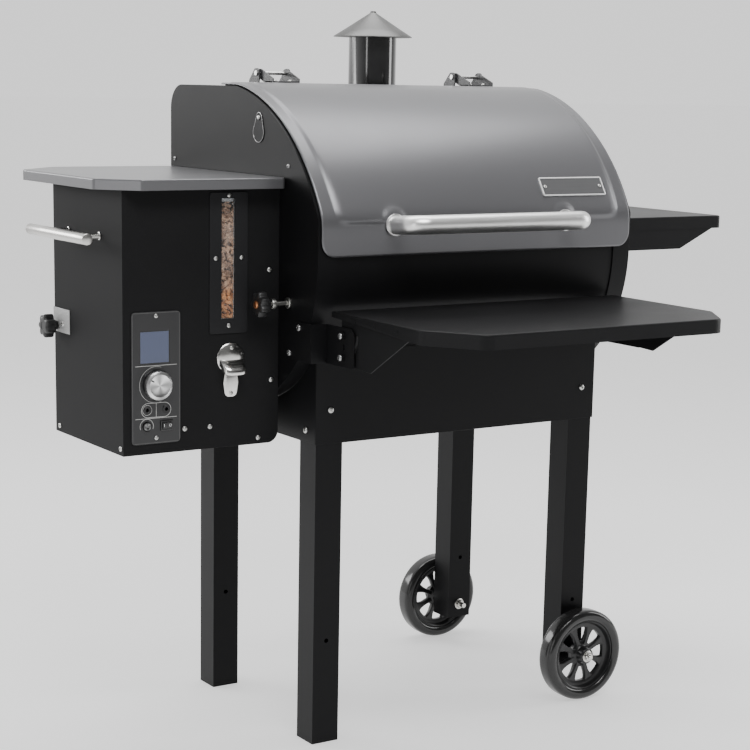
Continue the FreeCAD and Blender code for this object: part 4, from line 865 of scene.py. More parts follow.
def star_knob(name, middle, rad, back, front):
    """Moulded knob with lobes that faces left, domed outside, on a round shank."""
    lobes, shank, neck = 7, 8.5, 8.0
    bm = bmesh.new()
    n = lobes * 12
    def ring(scale, depth, round_to=None):
        out = []
        for i in range(n):
            t = 2 * math.pi * i / n
            r = round_to or rad * scale * (0.88 + 0.12 * math.cos(lobes * t))
            out.append(middle + Vector((-depth, r * math.cos(t), r * math.sin(t))) / 1000)
        return out
    rings = [ring(1, back - neck, shank * 0.9), ring(1, back, shank), ring(0.8, back),
             ring(0.96, back + 1.2), ring(1, back + 3), ring(1, front - 4), ring(0.97, front - 1.8),
             ring(0.88, front - 0.5), ring(0.7, front), ring(0.4, front, rad * 0.36),
             ring(0, front - 0.8, rad * 0.32)]
    return finished(bm, name, 40.0, bands(bm, rings)[0])


def moulded(name, colour, rough, grain=900.0, depth=0.00005):
    """Moulded plastic with a fine spark texture."""
    p = Paint(name, colour, 0.0, rough, IOR=1.48)
    cloud = p.noise(30.0, 3.0)
    p.shade(cloud, colour, 0.8, 1.3)
    p.set("Roughness", cloud * 0.14 + (rough - 0.07))
    return p.bump(p.noise(grain, 2.0), depth, 0.5)


knob_plastic = moulded("knob_plastic", (0.011, 0.011, 0.0115), 0.4)
slide_y, slide_z = -168.0, 780.0        # the rod's axis
knob_at = at(-371.0, slide_y, slide_z)
settle("slide_star_knob", star_knob("slide_star_knob", knob_at, 22.0, 8.5, 26.0), knob_plastic,
       "flame_slide", "black_plastic", "slide_knob")
copper = brushed("copper_nut", (0.55, 0.25, 0.12), 0.35, "x", 0.4)
for name, x, paint, body, sides, profile in (
        ("slide_nut", -397.0, copper, "flame_slide", 24,
         [(0.6, 0), (0.6, 6.8), (-1.4, 6.8), (-2.6, 5.4), (-3.0, 0)]),
        ("slide_collar", -371.0, slide_steel, "flame_slide", 32,
         [(2, 4.05), (2, 8.5), (4, 9), (8.6, 9), (9, 8.5), (9, 4.05)]),
        ("slide_bush", -334.0, slide_steel, "frame", 32,
         [(-0.1, 4.3), (-0.1, 9.5), (-2.6, 9.5), (-3.4, 8.6), (-3.4, 4.3)])):
    turned = lathe(name, "x", at(x, slide_y, slide_z), profile, sides)
    settle(name, turned, paint, body, "stainless")


# -------------------- feed screw and blower
# A welded screw pushes the pellets along its tube from under the bin to the pot,
# turned by a boxed gear motor; a can with a bladed wheel blows the fire.
screw_steel = brushed("screw_steel", (0.45, 0.44, 0.42), 0.38, "y", 0.5)
motor_coat = powder("motor_coat", (0.03, 0.031, 0.034), 0.5)
blade_plastic = moulded("blade_plastic", (0.02, 0.02, 0.021), 0.45)


def dressed(name, paint):
    """Keep a sub-part's own mesh and give it its finish."""
    mesh = node[name].data
    mesh.materials.clear()
    mesh.materials.append(paint.mat)


dressed("auger", screw_steel)
dressed("auger_tube", tray_steel)
eased("auger_motor", motor_coat, 1.5, 3)
eased("blower_case", motor_coat, 0.5)
dressed("blower_wheel", blade_plastic)

# -------------------- hopper
# A welded box of folded sheet with one bevelled corner.  Inside hangs the bin of
# zinc plated sheet with a wire guard; its pellets show behind the window.
hopper_coat = powder("hopper_coat", (0.01, 0.01, 0.0105), 0.5, Specular_IOR_Level=0.07)
eased("hopper_casing", hopper_coat, 1.3, 3)
zinc_sheet = brushed("zinc_sheet", (0.42, 0.43, 0.44), 0.42, "z", 0.25)
eased("hopper_bin", zinc_sheet, 0.35)
guard_wire = brushed("guard_wire", (0.5, 0.5, 0.5), 0.35, "y", 0.5)


def bar_blank(length):
    """Round bar of radius 1 along z, with broken ends."""
    profile = [(0, 0), (0, 0.8), (0.2, 1), (length - 0.2, 1), (length, 0.8), (length, 0)]
    return lathe("bar", "z", Vector((0, 0, 0)), [(a * 1000, r * 1000) for a, r in profile], 10, 50.0)


long_bars = [(at(-590 + 24 * i, -131.0, 946.38), (0, 1, 0), 1.6, 0) for i in range(11)]
cross_bars = [(at(-598.5, y, 950.0), (1, 0, 0), 2.0, 0) for y in (-100.0, 14.0, 128.0)]
guard = [set_out("long_bars", bar_blank(289.5 / 1.6), long_bars, guard_wire),
         set_out("cross_bars", bar_blank(257.0 / 2.0), cross_bars, guard_wire)]
settle("guard_rods", joined("guard_rods", guard), guard_wire, "frame", "zinc_wire", "hopper_guard")


def pellet_paint():
    """Pressed sawdust: warm brown below, greyer above a set height, with a ragged line between."""
    p = Paint("wood_pellets", (0.3, 0.16, 0.07), 0.0, 0.85)
    grain = p.noise(500.0, 4.0, 0.7)
    tone = p.noise(65.0, 1.0)
    light = p.ramp(tone, 0.35, 0.65)
    low = p.between(light, (0.24, 0.085, 0.025), (0.62, 0.29, 0.12))
    high = p.between(light, (0.19, 0.105, 0.065), (0.48, 0.31, 0.21))
    base = p.between(p.ramp(p.axis(2) * 1000 + p.noise(30.0) * 18, 806.0, 826.0), low, high)
    p.blend(grain * 0.35, base, (0.1, 0.045, 0.02))
    return p.bump(grain, 0.0004, 0.6)


pellets = pellet_paint()
scatter = random.Random(41)
first_x, first_z, pitch_x, pitch_z = -446.0, 754.0, 8.6, 6.6
guard_low, guard_high = 946, 952        # no pellet lies through the guard
spots = []
for layer in range(2):      # the front layer shows, the second closes its gaps
    for row in range(32):
        for column in range(4):
            x = first_x + column * pitch_x + scatter.uniform(-3, 3)
            z = first_z + row * pitch_z + scatter.uniform(-3, 3)
            lean = scatter.uniform(0, 2 * math.pi)
            facing = (math.cos(lean), scatter.uniform(-0.35, 0.35), math.sin(lean))
            middle = Vector((x, -127.5 + layer * 5.5 + scatter.uniform(-1.0, 1.0), z))
            start = middle - Vector(facing).normalized() * 5.5
            if 750 < start.z < guard_low or start.z > guard_high:
                spots.append((at(*start), facing, scatter.uniform(3.0, 3.6), 0))
settle("pellets", set_out("pellets", bar_blank(3.7), spots, pellets), pellets, "frame")


# -------------------- hopper lid
# One sheet folded down all round but at the barrel, with bevelled left corners;
# painted like the lid.  Ears welded under its rear edge take the hinge pins.
def folded_tray(name, corners, rad, top, depth, fold, bare):
    """Sheet with a rolled edge folded down by depth; bare(x, y) tells the open side."""
    steps, wall = 6, 1.4
    bends = [math.pi / 2 * (i + 1) / steps for i in range(steps)]
    levels = [(0.0, top - depth), (0.0, top - fold)]
    levels += [(fold - fold * math.cos(a), top - fold + fold * math.sin(a)) for a in bends]
    edge = rounded(corners, rad, 0.0, 6)
    rings = [[at(u, v, top) if bare(u, v) else at(x, y, z)
              for (x, y), (u, v) in zip(rounded(corners, rad, inset, 6), edge)] for inset, z in levels]
    bm = bmesh.new()
    bands(bm, rings)
    bmesh.ops.remove_doubles(bm, verts=bm.verts, dist=2e-6)
    tmp = in_scene(name, finished(bm, name, outward=False))
    gauge = tmp.modifiers.new("gauge", "SOLIDIFY")
    gauge.thickness, gauge.offset, gauge.use_even_offset = wall / 1000, -1.0, True
    return rounded_edges(applied(tmp, name), name, 0.25, 1, 50.0)


hopper_grey = metallic_grey("hopper_lid_paint", (0.13, 0.13, 0.136))
open_x = -338.5         # the side towards the barrel has no fold
outline = [(open_x, -163), (open_x, 267), (-576, 267), (-664, 185), (-664, -105), (-604, -163)]
cover = folded_tray("hopper_cover", outline, lambda c: 7.0 if c.x > open_x - 5 else 10.0,
                    990.0, 18.0, 3.2, lambda x, y: x > open_x - 0.1)
ear = [(243.2, 988.4), (243.2, 966), (245, 960), (256, 960), (259, 966), (259, 988.4)]
ears = [prism("cover_ear", x, x + 2, ear) for x in (-513.0, -489.0, -403.0, -379.0)]
settle("hopper_cover", joined("hopper_cover", [cover] + ears), hopper_grey,
       "hopper_lid", "hopper_paint", "hopper_lid")
eased("hopper_hinges", black_coat, 0.4)

# -------------------- hopper window
# A pressed frame with a slot, and behind it a strip of clear plastic that the
# pellets have dusted.
frame_coat = powder("window_frame_coat", (0.014, 0.014, 0.015), 0.36)
eased("window_frame", frame_coat, 0.7, 3)
pane = Paint("clear_plastic", (0.5, 0.5, 0.5), 0.0, 0.12, IOR=1.49)
dust = pane.noise(35.0, 4.0)
pane.set("Alpha", pane.ramp(dust, 0.3, 0.8, 0.02, 0.09))
pane.set("Roughness", dust * 0.25 + 0.05)
dressed("window_pane", pane)


# -------------------- control panel
# Silk-screened steel plate: display above, a spun silver turning knob with tick
# marks, two probe jacks in an outlined pill, a push button and a rocker switch.
dial_x, dial_z, button_x, button_z, jack_z = -568.5, 651.8, -586.0, 583.0, 610.0


def panel_print():
    """Dark satin plate with light lines: border, rules, ticks, pill and an arc."""
    p = Paint("panel_print", (0.012, 0.012, 0.013), 0.0, 0.34, IOR=1.5)
    x, z = p.from_front()
    def reach(cx, cz): return ((x - cx) * (x - cx) + (z - cz) * (z - cz)).root()
    def near(a, b, half): return abs(a - b).below(half)
    rules = near(z, 684.0, 0.45).most(near(z, 596.0, 0.45)) * abs(x - dial_x).below(38.0)
    border = (abs(x - dial_x) - 45.0).most(abs(z - 663.0) - 110.5)
    border = border.above(-2.3) * border.below(-1.7) * 0.2
    core = (abs(x - dial_x) - 15.0).most(0.0)
    pill = near((core * core + (z - 609.5) * (z - 609.5)).root(), 12.0, 0.45)
    split = near(x, dial_x, 0.4) * abs(z - 609.5).below(12.0)
    turn = (z - dial_z).angle(x - dial_x)
    ticks = near(reach(dial_x, dial_z), 30.4, 0.35) * turn.cosine().below(0.3)
    ring = near(reach(button_x, button_z), 12.2, 0.45) * (z - 578.0).above(0.0)
    jack = near(reach(-585.0, jack_z), 8.3, 0.35)
    light = rules.most(border).most(pill.most(split)).most(ticks.most(ring).most(jack))
    cloud = p.noise(40.0, 3.0)
    field = p.between(cloud, (0.011, 0.011, 0.012), (0.018, 0.018, 0.019))
    p.blend(light, field, (0.42, 0.42, 0.41))
    p.set("Roughness", cloud * 0.1 + 0.3)
    return p.bump(p.noise(1600.0, 2.0), 0.00003, 0.4)


eased("control_plate", panel_print(), 0.35)
lcd = Paint("display_glass", (0.058, 0.077, 0.155), 0.0, 0.12, IOR=1.5,
            Coat_Weight=0.6, Coat_Roughness=0.05)
lcd_x, lcd_z = lcd.from_front(-571.0, 714.5)
lcd_edge = lcd.ramp(abs(lcd_x).most(abs(lcd_z)), 25.4, 26.2)
cells = lcd.ramp(lcd.noise(1.0, 0.0, 0.5, lcd.stretch(9.0, 9.0, 9.0)), 0.3, 0.7)
glass = lcd.between(cells, (0.045, 0.06, 0.118), (0.054, 0.071, 0.138))
lcd.blend(lcd_edge, glass, (0.012, 0.013, 0.018))
eased("display", lcd, 0.2)


def spun(name, colour, rough, cx, cz):
    """Metal turned on a lathe about an axis along y: fine rings, and a radial sheen painted into the
    colour as a painted reflection.
    """
    p = Paint(name, colour, 1.0, rough)
    x, z = p.from_front(cx, cz)
    way = (x * x + z * z).root()
    # Painted reflection: the colour darkens and lightens by angle round the middle, standing in for the
    # spun metal's sheen.
    painted_sheen = ((z.angle(x) - 0.9) * 4.0).cosine() * 0.5 + 0.5
    rings = p.noise(1.0, 3.0, 0.7, p.add("ShaderNodeCombineXYZ", {}, {0: way * 3.0}))
    p.shade(painted_sheen * 0.75 + rings * 0.25, colour, 0.3, 1.0)
    p.set("Roughness", rings * 0.12 + (rough - 0.06))
    return p.bump(rings, 0.00003, 0.5)


face_y = -137.8         # front of the control plate
silver = spun("spun_silver", (0.92, 0.92, 0.92), 0.3, dial_x, dial_z)
dial = lathe("dial_knob", "y", at(dial_x, face_y, dial_z),
             [(13.5, 0), (13.5, 3), (-1.6, 3), (-1.6, 22.8), (-2.2, 23.6), (-5.0, 24.4), (-11.5, 24.6),
              (-13.6, 23.8), (-14.6, 22.2), (-15.4, 20.2), (-15.9, 19.0), (-15.4, 17.8), (-14.7, 14.0),
              (-14.4, 8.0), (-14.3, 0)], 96)
settle("dial_knob", dial, silver, "control_knob", "black_plastic", "control_knob")


def on_dial(x, z, y):
    """Point on the dial's face, turned to where its pointer stands."""
    return at(dial_x - 0.5 * x - 0.866 * z, face_y - 14.6 - y, dial_z - 0.866 * x + 0.5 * z + 1.0)


pointer = plaque("pointer", box_of(-1.1, 1.1, 12.6, 19.0), 0.8, on_dial, 1.5, edge=0.2)
settle("dial_pointer", pointer, knob_plastic, "control_knob", "black_plastic")
chrome = spun("button_chrome", (0.22, 0.22, 0.22), 0.2, button_x, button_z)
push = lathe("push_button", "y", at(button_x, face_y, button_z),
             [(9.0, 0), (9.0, 6.8), (-3.0, 6.9), (-3.8, 6.3), (-4.0, 5.4), (-3.5, 3.5), (-3.2, 0)], 48)
settle("push_button", push, chrome, "power_button", "button_steel", "power_button")
jack = [(0.6, 3.2), (0.6, 6.6), (-1.5, 6.6), (-2.0, 6.0), (-2.0, 3.6), (-1.6, 3.2)]
jacks = [lathe("jack", "y", at(x, face_y, jack_z), jack, 36) for x in (-585.0, -550.0)]
settle("probe_jacks", joined("probe_jacks", jacks), knob_plastic, "frame", "stainless")


def rocker_paint():
    """Gloss black switch with a bar at one end and a ring at the other."""
    p = Paint("rocker_plastic", (0.01, 0.01, 0.01), 0.0, 0.2, IOR=1.5)
    x, z = p.from_front(z=582.5)
    bar = abs(x + 555.2).below(0.45) * abs(z).below(2.4)
    ring = abs(((x + 543.6) * (x + 543.6) + z * z).root() - 2.0).below(0.4)
    cloud = p.noise(60.0, 2.0)
    black = p.between(cloud, (0.009, 0.009, 0.009), (0.014, 0.014, 0.014))
    p.blend(bar.most(ring), black, (0.6, 0.6, 0.6))
    return p.set("Roughness", cloud * 0.1 + 0.16)


bezel = plaque("rocker_bezel", box_of(-561, -538, 573.5, 591.5), 1.6,
               lambda x, z, y: at(x, face_y - 0.6 - y, z), 1.4, 2.2, 0.9, 0.4)
keys = [plaque("rocker_key", box_of(a, b, 577, 588), 0.6,
               lambda x, z, y, t=t: at(x, face_y - 0.8 - y - (x + 549.5) * t, z), 2.0, edge=0.3)
        for a, b, t in ((-557.5, -549.5, -0.12), (-549.5, -541.5, 0.02))]
settle("rocker_switch", joined("rocker_switch", [bezel] + keys), rocker_paint(),
       "frame", "black_plastic")

# -------------------- bottle opener
# Pressed from stainless sheet: a domed disc over a screwed tang, with a curved
# lip below that hooks the cap.
opener_steel = brushed("opener_steel", (0.74, 0.73, 0.71), 0.2, "x", 0.5)
plate_y, opener_x, opener_z = -136.3, -428.4, 687.5


def opener_disc():
    """Crowned disc with its lower edge cut straight above the lip."""
    n = 64
    def spot(r, t, y):
        return at(opener_x + r * math.cos(t), plate_y - y, opener_z + max(r * math.sin(t), -19.0))
    rings = [[spot(r, 2 * math.pi * i / n, y) for i in range(n)] for r, y in (
        (25.4, 0.0), (26.0, 0.5), (26.0, 1.6), (25.2, 2.4), (22.5, 3.2), (19.0, 4.6), (14.0, 5.9),
        (8.0, 6.8), (3.0, 7.1))]
    bm = bmesh.new()
    return finished(bm, "opener_disc", 40.0, bands(bm, rings)[0])


def opener_lip():
    """Hood over the mouth, wide as the disc, thinning to its rounded ends."""
    section = [(0.5, -13.0), (-9.0, -15.5), (-17.0, -18.0), (-21.5, -21.0), (-22.6, -26.0),
               (-25.4, -26.0), (-26.0, -25.0), (-25.0, -18.5), (-22.0, -14.0), (-16.0, -9.0),
               (-8.0, -3.0), (0.5, 0.0)]
    rings = []
    n = 22
    for i in range(n + 1):
        t = -1 + 2 * i / n
        taper = math.sqrt(max(1 - t ** 4, 0)) * 0.55 + 0.45
        rings.append([at(opener_x + 22.5 * t, plate_y + y * taper, opener_z + z * (0.6 + 0.4 * taper))
                      for y, z in section])
    bm = bmesh.new()
    return finished(bm, "opener_lip", 50.0, bands(bm, rings)[0])


tang = plaque("tang", [(-11, -18), (11, -18), (14.5, -42), (11, -66), (-11, -66), (-14.5, -42)], 9.0,
              lambda x, z, y: at(opener_x + x, plate_y - y, opener_z + z), 2.6, edge=0.9)
settle("cap_opener", joined("cap_opener", [opener_disc(), opener_lip(), tang]), opener_steel, "frame",
       "opener_steel", "bottle_opener")

# -------------------- hopper handle
# A short stainless grip tube with flat ends on two standoffs, screwed through
# the hopper's left side for pulling the grill along.
grip_steel = brushed("side_grip_steel", (0.6, 0.59, 0.57), 0.28, "y")
wall_x = -628.3
bar = [(-106, 0), (-106, 8.6), (-105.6, 9.2), (-104.8, 9.5), (-60, 9.5), (0, 9.5), (60, 9.5),
       (126.8, 9.5), (127.6, 9.2), (128, 8.6), (128, 0)]
post = [(0, 0), (0, 6.4), (-0.8, 6.6), (-1.4, 5.2), (-2.0, 4.9), (-44.0, 4.9), (-44.0, 0)]
grip = [lathe("side_grip", "y", at(-674.75, 0, 892), bar, 48)]
grip += [lathe("grip_post", "x", at(wall_x, y, 892), post, 32) for y in (-50.0, 74.0)]
settle("side_grip", joined("side_grip", grip), grip_steel, "frame", "brushed_steel", "hopper_handle")

# -------------------- clean-out door
# A bright plate bent round the bevelled corner shuts the chute; one star knob
# holds it.
door_coat = hammered("door_silver", (0.32, 0.32, 0.32), (0.62, 0.62, 0.61), 0.36, 700.0, 0.00012)
eased("cleanout_door", door_coat, 0.4)
door_knob = star_knob("cleanout_star_knob", at(wall_x, 124, 724), 21.0, 10.0, 28.8)
settle("cleanout_star_knob", door_knob, knob_plastic, "cleanout_knob", "black_plastic", "cleanout_knob")

# -------------------- shelf arms
# Folded steel brackets bolted to the rims of the pans; the front shelf hangs on
# their pins.
eased("shelf_arms", black_coat, 0.7, 3)

# -------------------- front shelf
# One sheet with its front corners cut back and its edges folded down, on two
# gusset plates with a curved slot; flat rivets hold them.
shelf_coat = powder("shelf_coat", (0.008, 0.008, 0.0085), 0.4, Specular_IOR_Level=0.11)
outline = [(-304, -258), (-304, -523), (-242, -613), (242, -613), (304, -523), (304, -258)]
shelf = folded_tray("front_tray", outline, lambda c: 0.4 if c.y > -300 else 30.0,
                    774.0, 24.0, 3.4, lambda x, y: y > -300)
settle("front_tray", shelf, shelf_coat, "front_shelf", "shelf_paint", "shelf_top")
eased("shelf_gussets", shelf_coat, 0.35)

# -------------------- side shelf
# A plain folded tray on two brackets, screwed to the right pan.
table = folded_tray("side_tray", box_of(334.3, 640, -179, 181), lambda c: 12.0 if c.x > 600 else 1.0,
                    907.0, 24.0, 3.4, lambda x, y: False)
settle("side_tray", table, shelf_coat, "frame", "shelf_paint", "side_shelf_top")
eased("side_shelf_brackets", shelf_coat, 0.5)


# -------------------- chimney
# Rolled pipe, mitred and welded, on a square flange; gloss enamel.  A spun cap
# of satin steel rides on a threaded rod in the strap at its mouth.
def pipe(name, x, y, rad, wall, back, mitre, top):
    """Pipe that leaves the rear wall, turns up at a mitre and ends at top."""
    def ring(r, place): return [at(x + u, *place(v)) for u, v, _ in circle(r, 0, 72)]
    places = [lambda v: (back, mitre + v), lambda v: (y - v, mitre + v), lambda v: (y - v, top)]
    outer, inner = ([ring(r, place) for place in places] for r in (rad, rad - wall))
    bm = bmesh.new()
    made = bands(bm, outer + inner[::-1], False)
    tied(bm, made[-1], made[0])
    return finished(bm, name, 30.0)


gloss = Paint("chimney_enamel", (0.008, 0.008, 0.0085), 0.0, 0.16, IOR=1.5,
              Coat_Weight=0.7, Coat_Roughness=0.06)
gloss_cloud = gloss.noise(24.0, 3.0)
gloss.blend(gloss_cloud, (0.007, 0.007, 0.0075), (0.013, 0.013, 0.0135))
gloss.set("Roughness", gloss_cloud * 0.12 + 0.1)
gloss.bump(gloss.noise(900.0, 2.0), 0.00002, 0.4)
flue_x, flue_y, flue_z, flue_top = 150.0, 334.0, 1040.0, 1238.0
flange = plaque("flue_flange", box_of(-66, 66, -66, 66), 4.0,
                lambda x, z, y: at(flue_x + x, 268.0 + y, flue_z + z), 2.0)
strap = plaque("flue_strap", box_of(-46.8, 46.8, -7, 7), 0.5,
               lambda x, y, z: at(flue_x + x, flue_y + y, 1198.0 + z), 2.0, edge=0.3)
stack = pipe("chimney_stack", flue_x, flue_y, 48.0, 1.5, 268.2, flue_z, flue_top)
settle("chimney_stack", joined("chimney_stack", [stack, flange, strap]), gloss,
       "frame", "gloss_enamel", "chimney_pipe")
hat_steel = brushed("hat_steel", (0.15, 0.15, 0.148), 0.42, "z", 0.25)
hat = lathe("chimney_cap", "z", at(flue_x, flue_y, 0),
            [(1155, 0), (1155.6, 2.8), (1281.6, 2.9), (1281.6, 5.0), (1238.9, 77.2), (1237.9, 78.2),
             (1237.8, 78.9), (1238.4, 79.0), (1239.4, 78.4), (1254.0, 55.0), (1284.6, 7.2),
             (1285.4, 6.4), (1288.4, 5.8), (1288.9, 4.6), (1289, 0)], 96, 30.0)
settle("chimney_cap", hat, hat_steel, "chimney_hat", "hat_steel", "chimney_hat")


# -------------------- wheels
# Moulded black wheels with eight tapered spokes and a ribbed rim; the tyres are
# hard rubber with a rounded shoulder.  A bolt through each leg is the axle.
def spoke_blank():
    """One spoke along +x with its mould draft, from the hub to the rim's web."""
    stops = [(14.0, 6.4, 7.0), (24.0, 5.0, 6.4), (38.0, 5.4, 5.2), (48.0, 8.2, 4.8), (56.5, 15.0, 4.8)]
    rings = []
    for x, w, d in stops:       # way out, half width, half depth
        section = [(-w, -1.2), (-w, 1.2), (-w * 0.75, d), (w * 0.75, d)]
        rings.append([Vector((x, y, z)) / 1000 for y, z in section + [(-y, -z) for y, z in section]])
    bm = bmesh.new()
    mesh = finished(bm, "spoke", 40.0, bands(bm, rings)[0])
    return rounded_edges(mesh, "spoke", 0.8, 2, 25.0)


def spokes(name, middle, paint):
    """Eight spokes set round the axle by a jig."""
    jig = Jig("spoke_jig", count=8, start=22.5, finish=paint)
    points = jig.add("GeometryNodeMeshLine", {"Count": jig.size("count"), "Offset": (0.0, 0.0, 0.0),
                                              "Start Location": tuple(middle)})
    index = jig.add("GeometryNodeInputIndex", {})
    part = jig.sum("DIVIDE", 2 * math.pi, jig.size("count"))
    first = jig.sum("MULTIPLY", jig.size("start"), math.pi / 180)
    turn = jig.sum("ADD", jig.sum("MULTIPLY", index, part), first)
    upright = jig.add("ShaderNodeCombineXYZ", {0: math.pi / 2, 1: 0.0, 2: 0.0})
    lean = jig.add("FunctionNodeEulerToRotation", {0: upright})
    roll = jig.add("FunctionNodeAxisAngleToRotation", {"Axis": (0.0, 1.0, 0.0), "Angle": turn})
    both = jig.add("FunctionNodeRotateRotation", {"Rotation": lean, "Rotate By": roll},
                   {"rotation_space": "GLOBAL"})
    star = jig.add("GeometryNodeInstanceOnPoints",
                   {"Points": points, "Instance": jig.size("blank"), "Rotation": both})
    return jig.make(name, spoke_blank(), star)


wheel_plastic = moulded("wheel_plastic", (0.008, 0.008, 0.0085), 0.3)
rubber = moulded("tyre_rubber", (0.016, 0.016, 0.016), 0.15, 500.0, 0.00003)
axle_bolts = brushed("axle_zinc", (0.66, 0.65, 0.62), 0.24, "y", 0.4)
axle_x, axle_z = 275.5, 87.5
rim = mirrored([(-13.0, 71.4), (-14.2, 67.4), (-14.6, 64.6), (-13.8, 63.6), (-9.0, 62.6), (-5.6, 60.4),
                (-4.8, 54.0), (-3.8, 52.6)])
boss = mirrored([(-22, 5.08), (-22, 13.8), (-21, 15.0), (-9.5, 16.2), (-5.0, 20.0), (-3.6, 24.6)])
tread = mirrored([(-13.4, 71.8), (-14.6, 67.8), (-15.4, 67.2), (-17.2, 68.4), (-18.8, 71.6), (-19.6, 75.4),
                  (-19.4, 79.0), (-18.0, 82.6), (-15.4, 85.3), (-12.0, 86.9), (-8.0, 87.4), (-3.0, 87.5)])
rods, nuts, spacers = [], [], []
for name, side in (("front", -1), ("rear", 1)):
    def on_axle(y): return at(axle_x, side * y, axle_z)
    hub = on_axle(239.6)
    made = joined("wheel_" + name, [lathe("rim", "y", hub, rim, 96), lathe("boss", "y", hub, boss, 64),
                                    spokes("spokes_" + name, hub, wheel_plastic)])
    settle("spoked_wheel_" + name, made, wheel_plastic,
           name + "_wheel", "wheel_plastic", "wheel_" + name)
    tyre = lathe("tyre_" + name, "y", hub, tread, 128, 40.0)
    settle("rubber_tyre_" + name, tyre, rubber, name + "_wheel", "tyre_rubber", "tyre_" + name)
    low, high = -side * 122.0, side * 3.0
    rod = [(low, 0), (low, 4.98), (high, 4.98), (high, 0)]
    rods.append(lathe("axle", "y", on_axle(261.6), rod, 32))
    spacers.append(lathe("spacer", "y", on_axle(214.1), mirrored([(-3.1, 5.1), (-3.1, 9.6)]), 40))
    nuts += [(on_axle(262.2), (0, side, 0), 8.6, 12), (on_axle(157.1), (0, -side, 0), 8.6, 40)]
axle_set = joined("axle_bolts", rods + spacers + [set_out("axle_nuts", hex_nut, nuts, axle_bolts)])
settle("axle_bolts", axle_set, axle_bolts, "frame", "zinc_fastener", "axles")

# -------------------- screws
# Zinc plated pan heads with a cross recess hold every sheet; each sits where its
# hole is, turned as the driver left it.
black_zinc = brushed("black_zinc", (0.34, 0.34, 0.34), 0.26, "z", 0.5, 0.8)
heads, dark = [], []
front, left_way, right_way = (0, -1, 0), (-1, 0, 0), (1, 0, 0)
heads += [(x, -212.9, 598.0, front, 5.5) for x in (-275.0, 275.0)]
for side, out in ((-1, left_way), (1, right_way)):
    heads += [(side * 304.3, y, 560.0, out, 5.5) for y in (-180.0, 180.0)]
    dark += [(side * 334.0, y, z, out, 4.0) for y, z in (
        (253.0, 1004.0), (-163.0, 1009.0), (-168.0, 800.0)) if side > 0 or z > 900]
    dark += [(side * 336.3, y, z, out, 5.5) for y, z in ((-207.0, 742.0), (-176.0, 696.0))]
    dark += [(side * 312.0, -300.0, z, out, 5.2) for z in (738.0, 702.0)]
heads += [(x, -136.0, z, front, 4.5) for x, z in (
    (-354, 834), (-349, 645), (-374, 546), (-515, 573), (-467.5, 573))]
heads += [(x, -138.3, z, front, 3.8) for x, z in ((-433, 961), (-458, 857), (-409, 857), (-433, 743))]
heads += [(dial_x, face_y, z, front, 3.8) for z in (766.5, 562.5)]
heads += [(x, y, z, left_way, 4.5) for x, y, z in (
    (-628.0, 120.0, 546.0), (-628.0, -127.0, 547.0), (-629.8, 98.0, 729.0))]
turns = random.Random(7)


def driven(screws):
    """Places for screws, each turned as it happened to stop."""
    return [(at(x, y, z), way, r, turns.uniform(0, 90)) for x, y, z, way, r in screws]


places = driven(heads)
places += [(at(opener_x, y, z), front, 3.6, spin) for y, z, spin in (
    (-138.8, 628.0, 20.0), (-140.6, 705.5, 65.0))]
fasten("pan_heads", pan_head, places, zinc, "frame", "panel_screws")
fasten("black_heads", pan_head, driven(dark), black_zinc, "frame")
badge_heads = [(on_badge(x, 0, 1.6), (0, badge_n.x, badge_n.y), 3.2, 0) for x in (-62.0, 62.0)]
fasten("badge_rivets", button_head, badge_heads, zinc, "lid")
shelf_rivets = [(at(side * 302.5, y, 764.0), (side, 0, 0), 3.6, 0)
                for side in (-1, 1) for y in (-328, -390, -454)]
fasten("shelf_rivets", button_head, shelf_rivets, black_zinc, "front_shelf")

# -------------------- port cover
# A drop of sheet on one rivet swings over the probe hole of the left pan.
port_y, port_z = -64.0, 1086.5
drop = arc(port_y, port_z, 9.5, 18, 162, 8) + arc(port_y + 2, port_z - 23.5, 18.5, 176, 364, 20)
port_face = powder("port_face", (0.012, 0.012, 0.013), 0.3)
cover = plaque("port_flap", drop, 0.2, lambda y, z, x: at(-334.3 - x, y, z), 1.4, 0.8, 0.35, 0.2)
settle("port_flap", cover, [port_face, black_zinc], "port_cover", "black_powder_coat", "port_cover")
fasten("port_rivet", button_head, [(at(-335.8, port_y, port_z), left_way, 4.0, 0)], zinc, "frame")

# -------------------- probe and power inlet
# A stainless thermometer rod screwed through the left pan, and a moulded socket
# for a cord in the hopper's rear.
probe_steel = brushed("probe_steel", (0.6, 0.6, 0.58), 0.28, "x", 0.4)
dressed("temperature_probe", probe_steel)
eased("power_inlet", knob_plastic, 0.6)

# -------------------- floor, lights and camera
# A pale sheet under the grill, a bright room and soft boxes round it.
floor_mesh = bpy.data.meshes.new("floor")
floor_mesh.from_pydata([(x, y, 0) for x, y in box_of(-90, 90, -90, 90)], [], [(0, 1, 2, 3)])
floor = in_scene("floor", floor_mesh)
pale = Paint("pale_floor", (0.5, 0.5, 0.5), 0.0, 0.8,
             Emission_Color=(1, 1, 1, 1), Emission_Strength=0.72)
pale.blend(pale.noise(0.7, 2.0), (0.5, 0.5, 0.5), (0.53, 0.53, 0.53))
floor_mesh.materials.append(pale.mat)

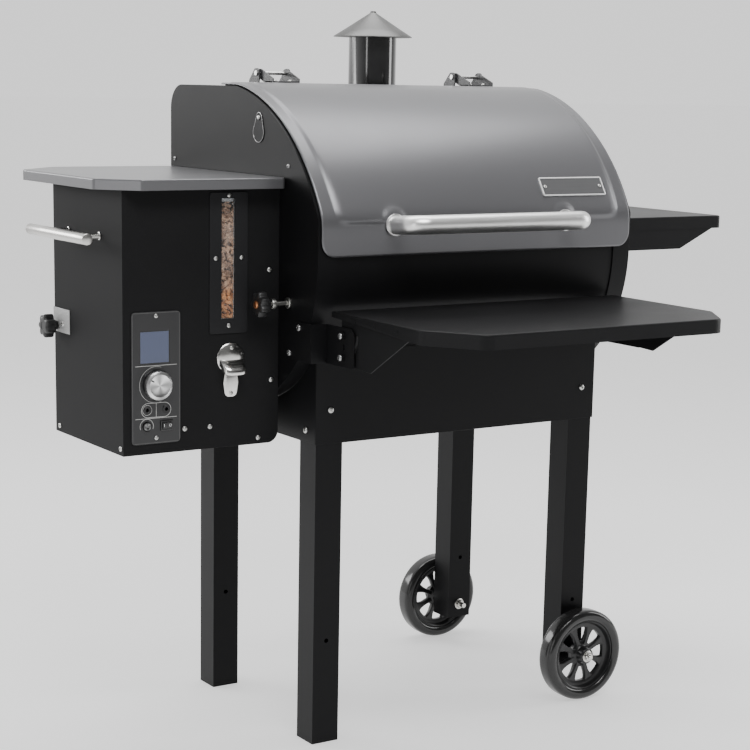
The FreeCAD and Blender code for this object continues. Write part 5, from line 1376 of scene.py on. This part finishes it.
world = bpy.data.worlds.new("studio")
world.use_nodes = True
sky = world.node_tree

# The room is bright behind the grill and dim in front of it; its backdrop is even.
way = wired(sky, "ShaderNodeTexCoord", {}, {}, "Generated")
depth = wired(sky, "ShaderNodeSeparateXYZ", {}, {0: way}, 1)
room = wired(sky, "ShaderNodeMapRange", {}, {0: depth, 1: -0.5, 2: 0.5, 3: 0.14, 4: 1.3})
seen = wired(sky, "ShaderNodeLightPath", {}, {}, "Is Camera Ray")
level = wired(sky, "ShaderNodeMapRange", {}, {0: seen, 3: room, 4: 1.2})
sky.nodes["Background"].inputs[0].default_value = (1.0, 1.0, 1.0, 1)
sky.links.new(level, sky.nodes["Background"].inputs[1])
bpy.context.scene.world = world


def softbox(name, spot, size, watts, aim=(0.0, 0.0, 0.7)):
    """A soft rectangular light that looks at a point."""
    lamp = bpy.data.lights.new(name, "AREA")
    lamp.shape, lamp.energy = "RECTANGLE", watts
    lamp.size, lamp.size_y = size
    box = in_scene(name, lamp)
    box.location = spot
    box.rotation_euler = (Vector(aim) - Vector(spot)).to_track_quat("-Z", "Y").to_euler()


softbox("key_softbox", (-0.6, -1.9, 3.3), (2.2, 1.0), 85)
softbox("side_softbox", (3.2, -1.0, 1.6), (0.8, 2.4), 40)
softbox("top_softbox", (0.3, 0.6, 3.4), (3.0, 1.4), 75)
softbox("edge_strip", (-3.4, -1.6, 1.3), (0.4, 2.0), 14, (-0.6, 0.0, 0.8))
softbox("rear_softbox", (-2.4, 3.2, 1.9), (1.8, 1.2), 60)

view = bpy.data.cameras.new("view")
view.sensor_width, view.lens = 36.0, 90.17
view.shift_x, view.shift_y = 0.0, 0.1
camera = in_scene("view", view)
right, up = (0.83904116, -0.54373647, 0.01898931), (0.08914885, 0.17182896, 0.98108475)
back = (-0.53671447, -0.82147761, 0.19264505)
camera.matrix_world = (Matrix.Translation((-1.92102612, -2.8062518, 1.15155089))
                       @ Matrix((right, up, back)).transposed().to_4x4())
bpy.context.scene.camera = camera
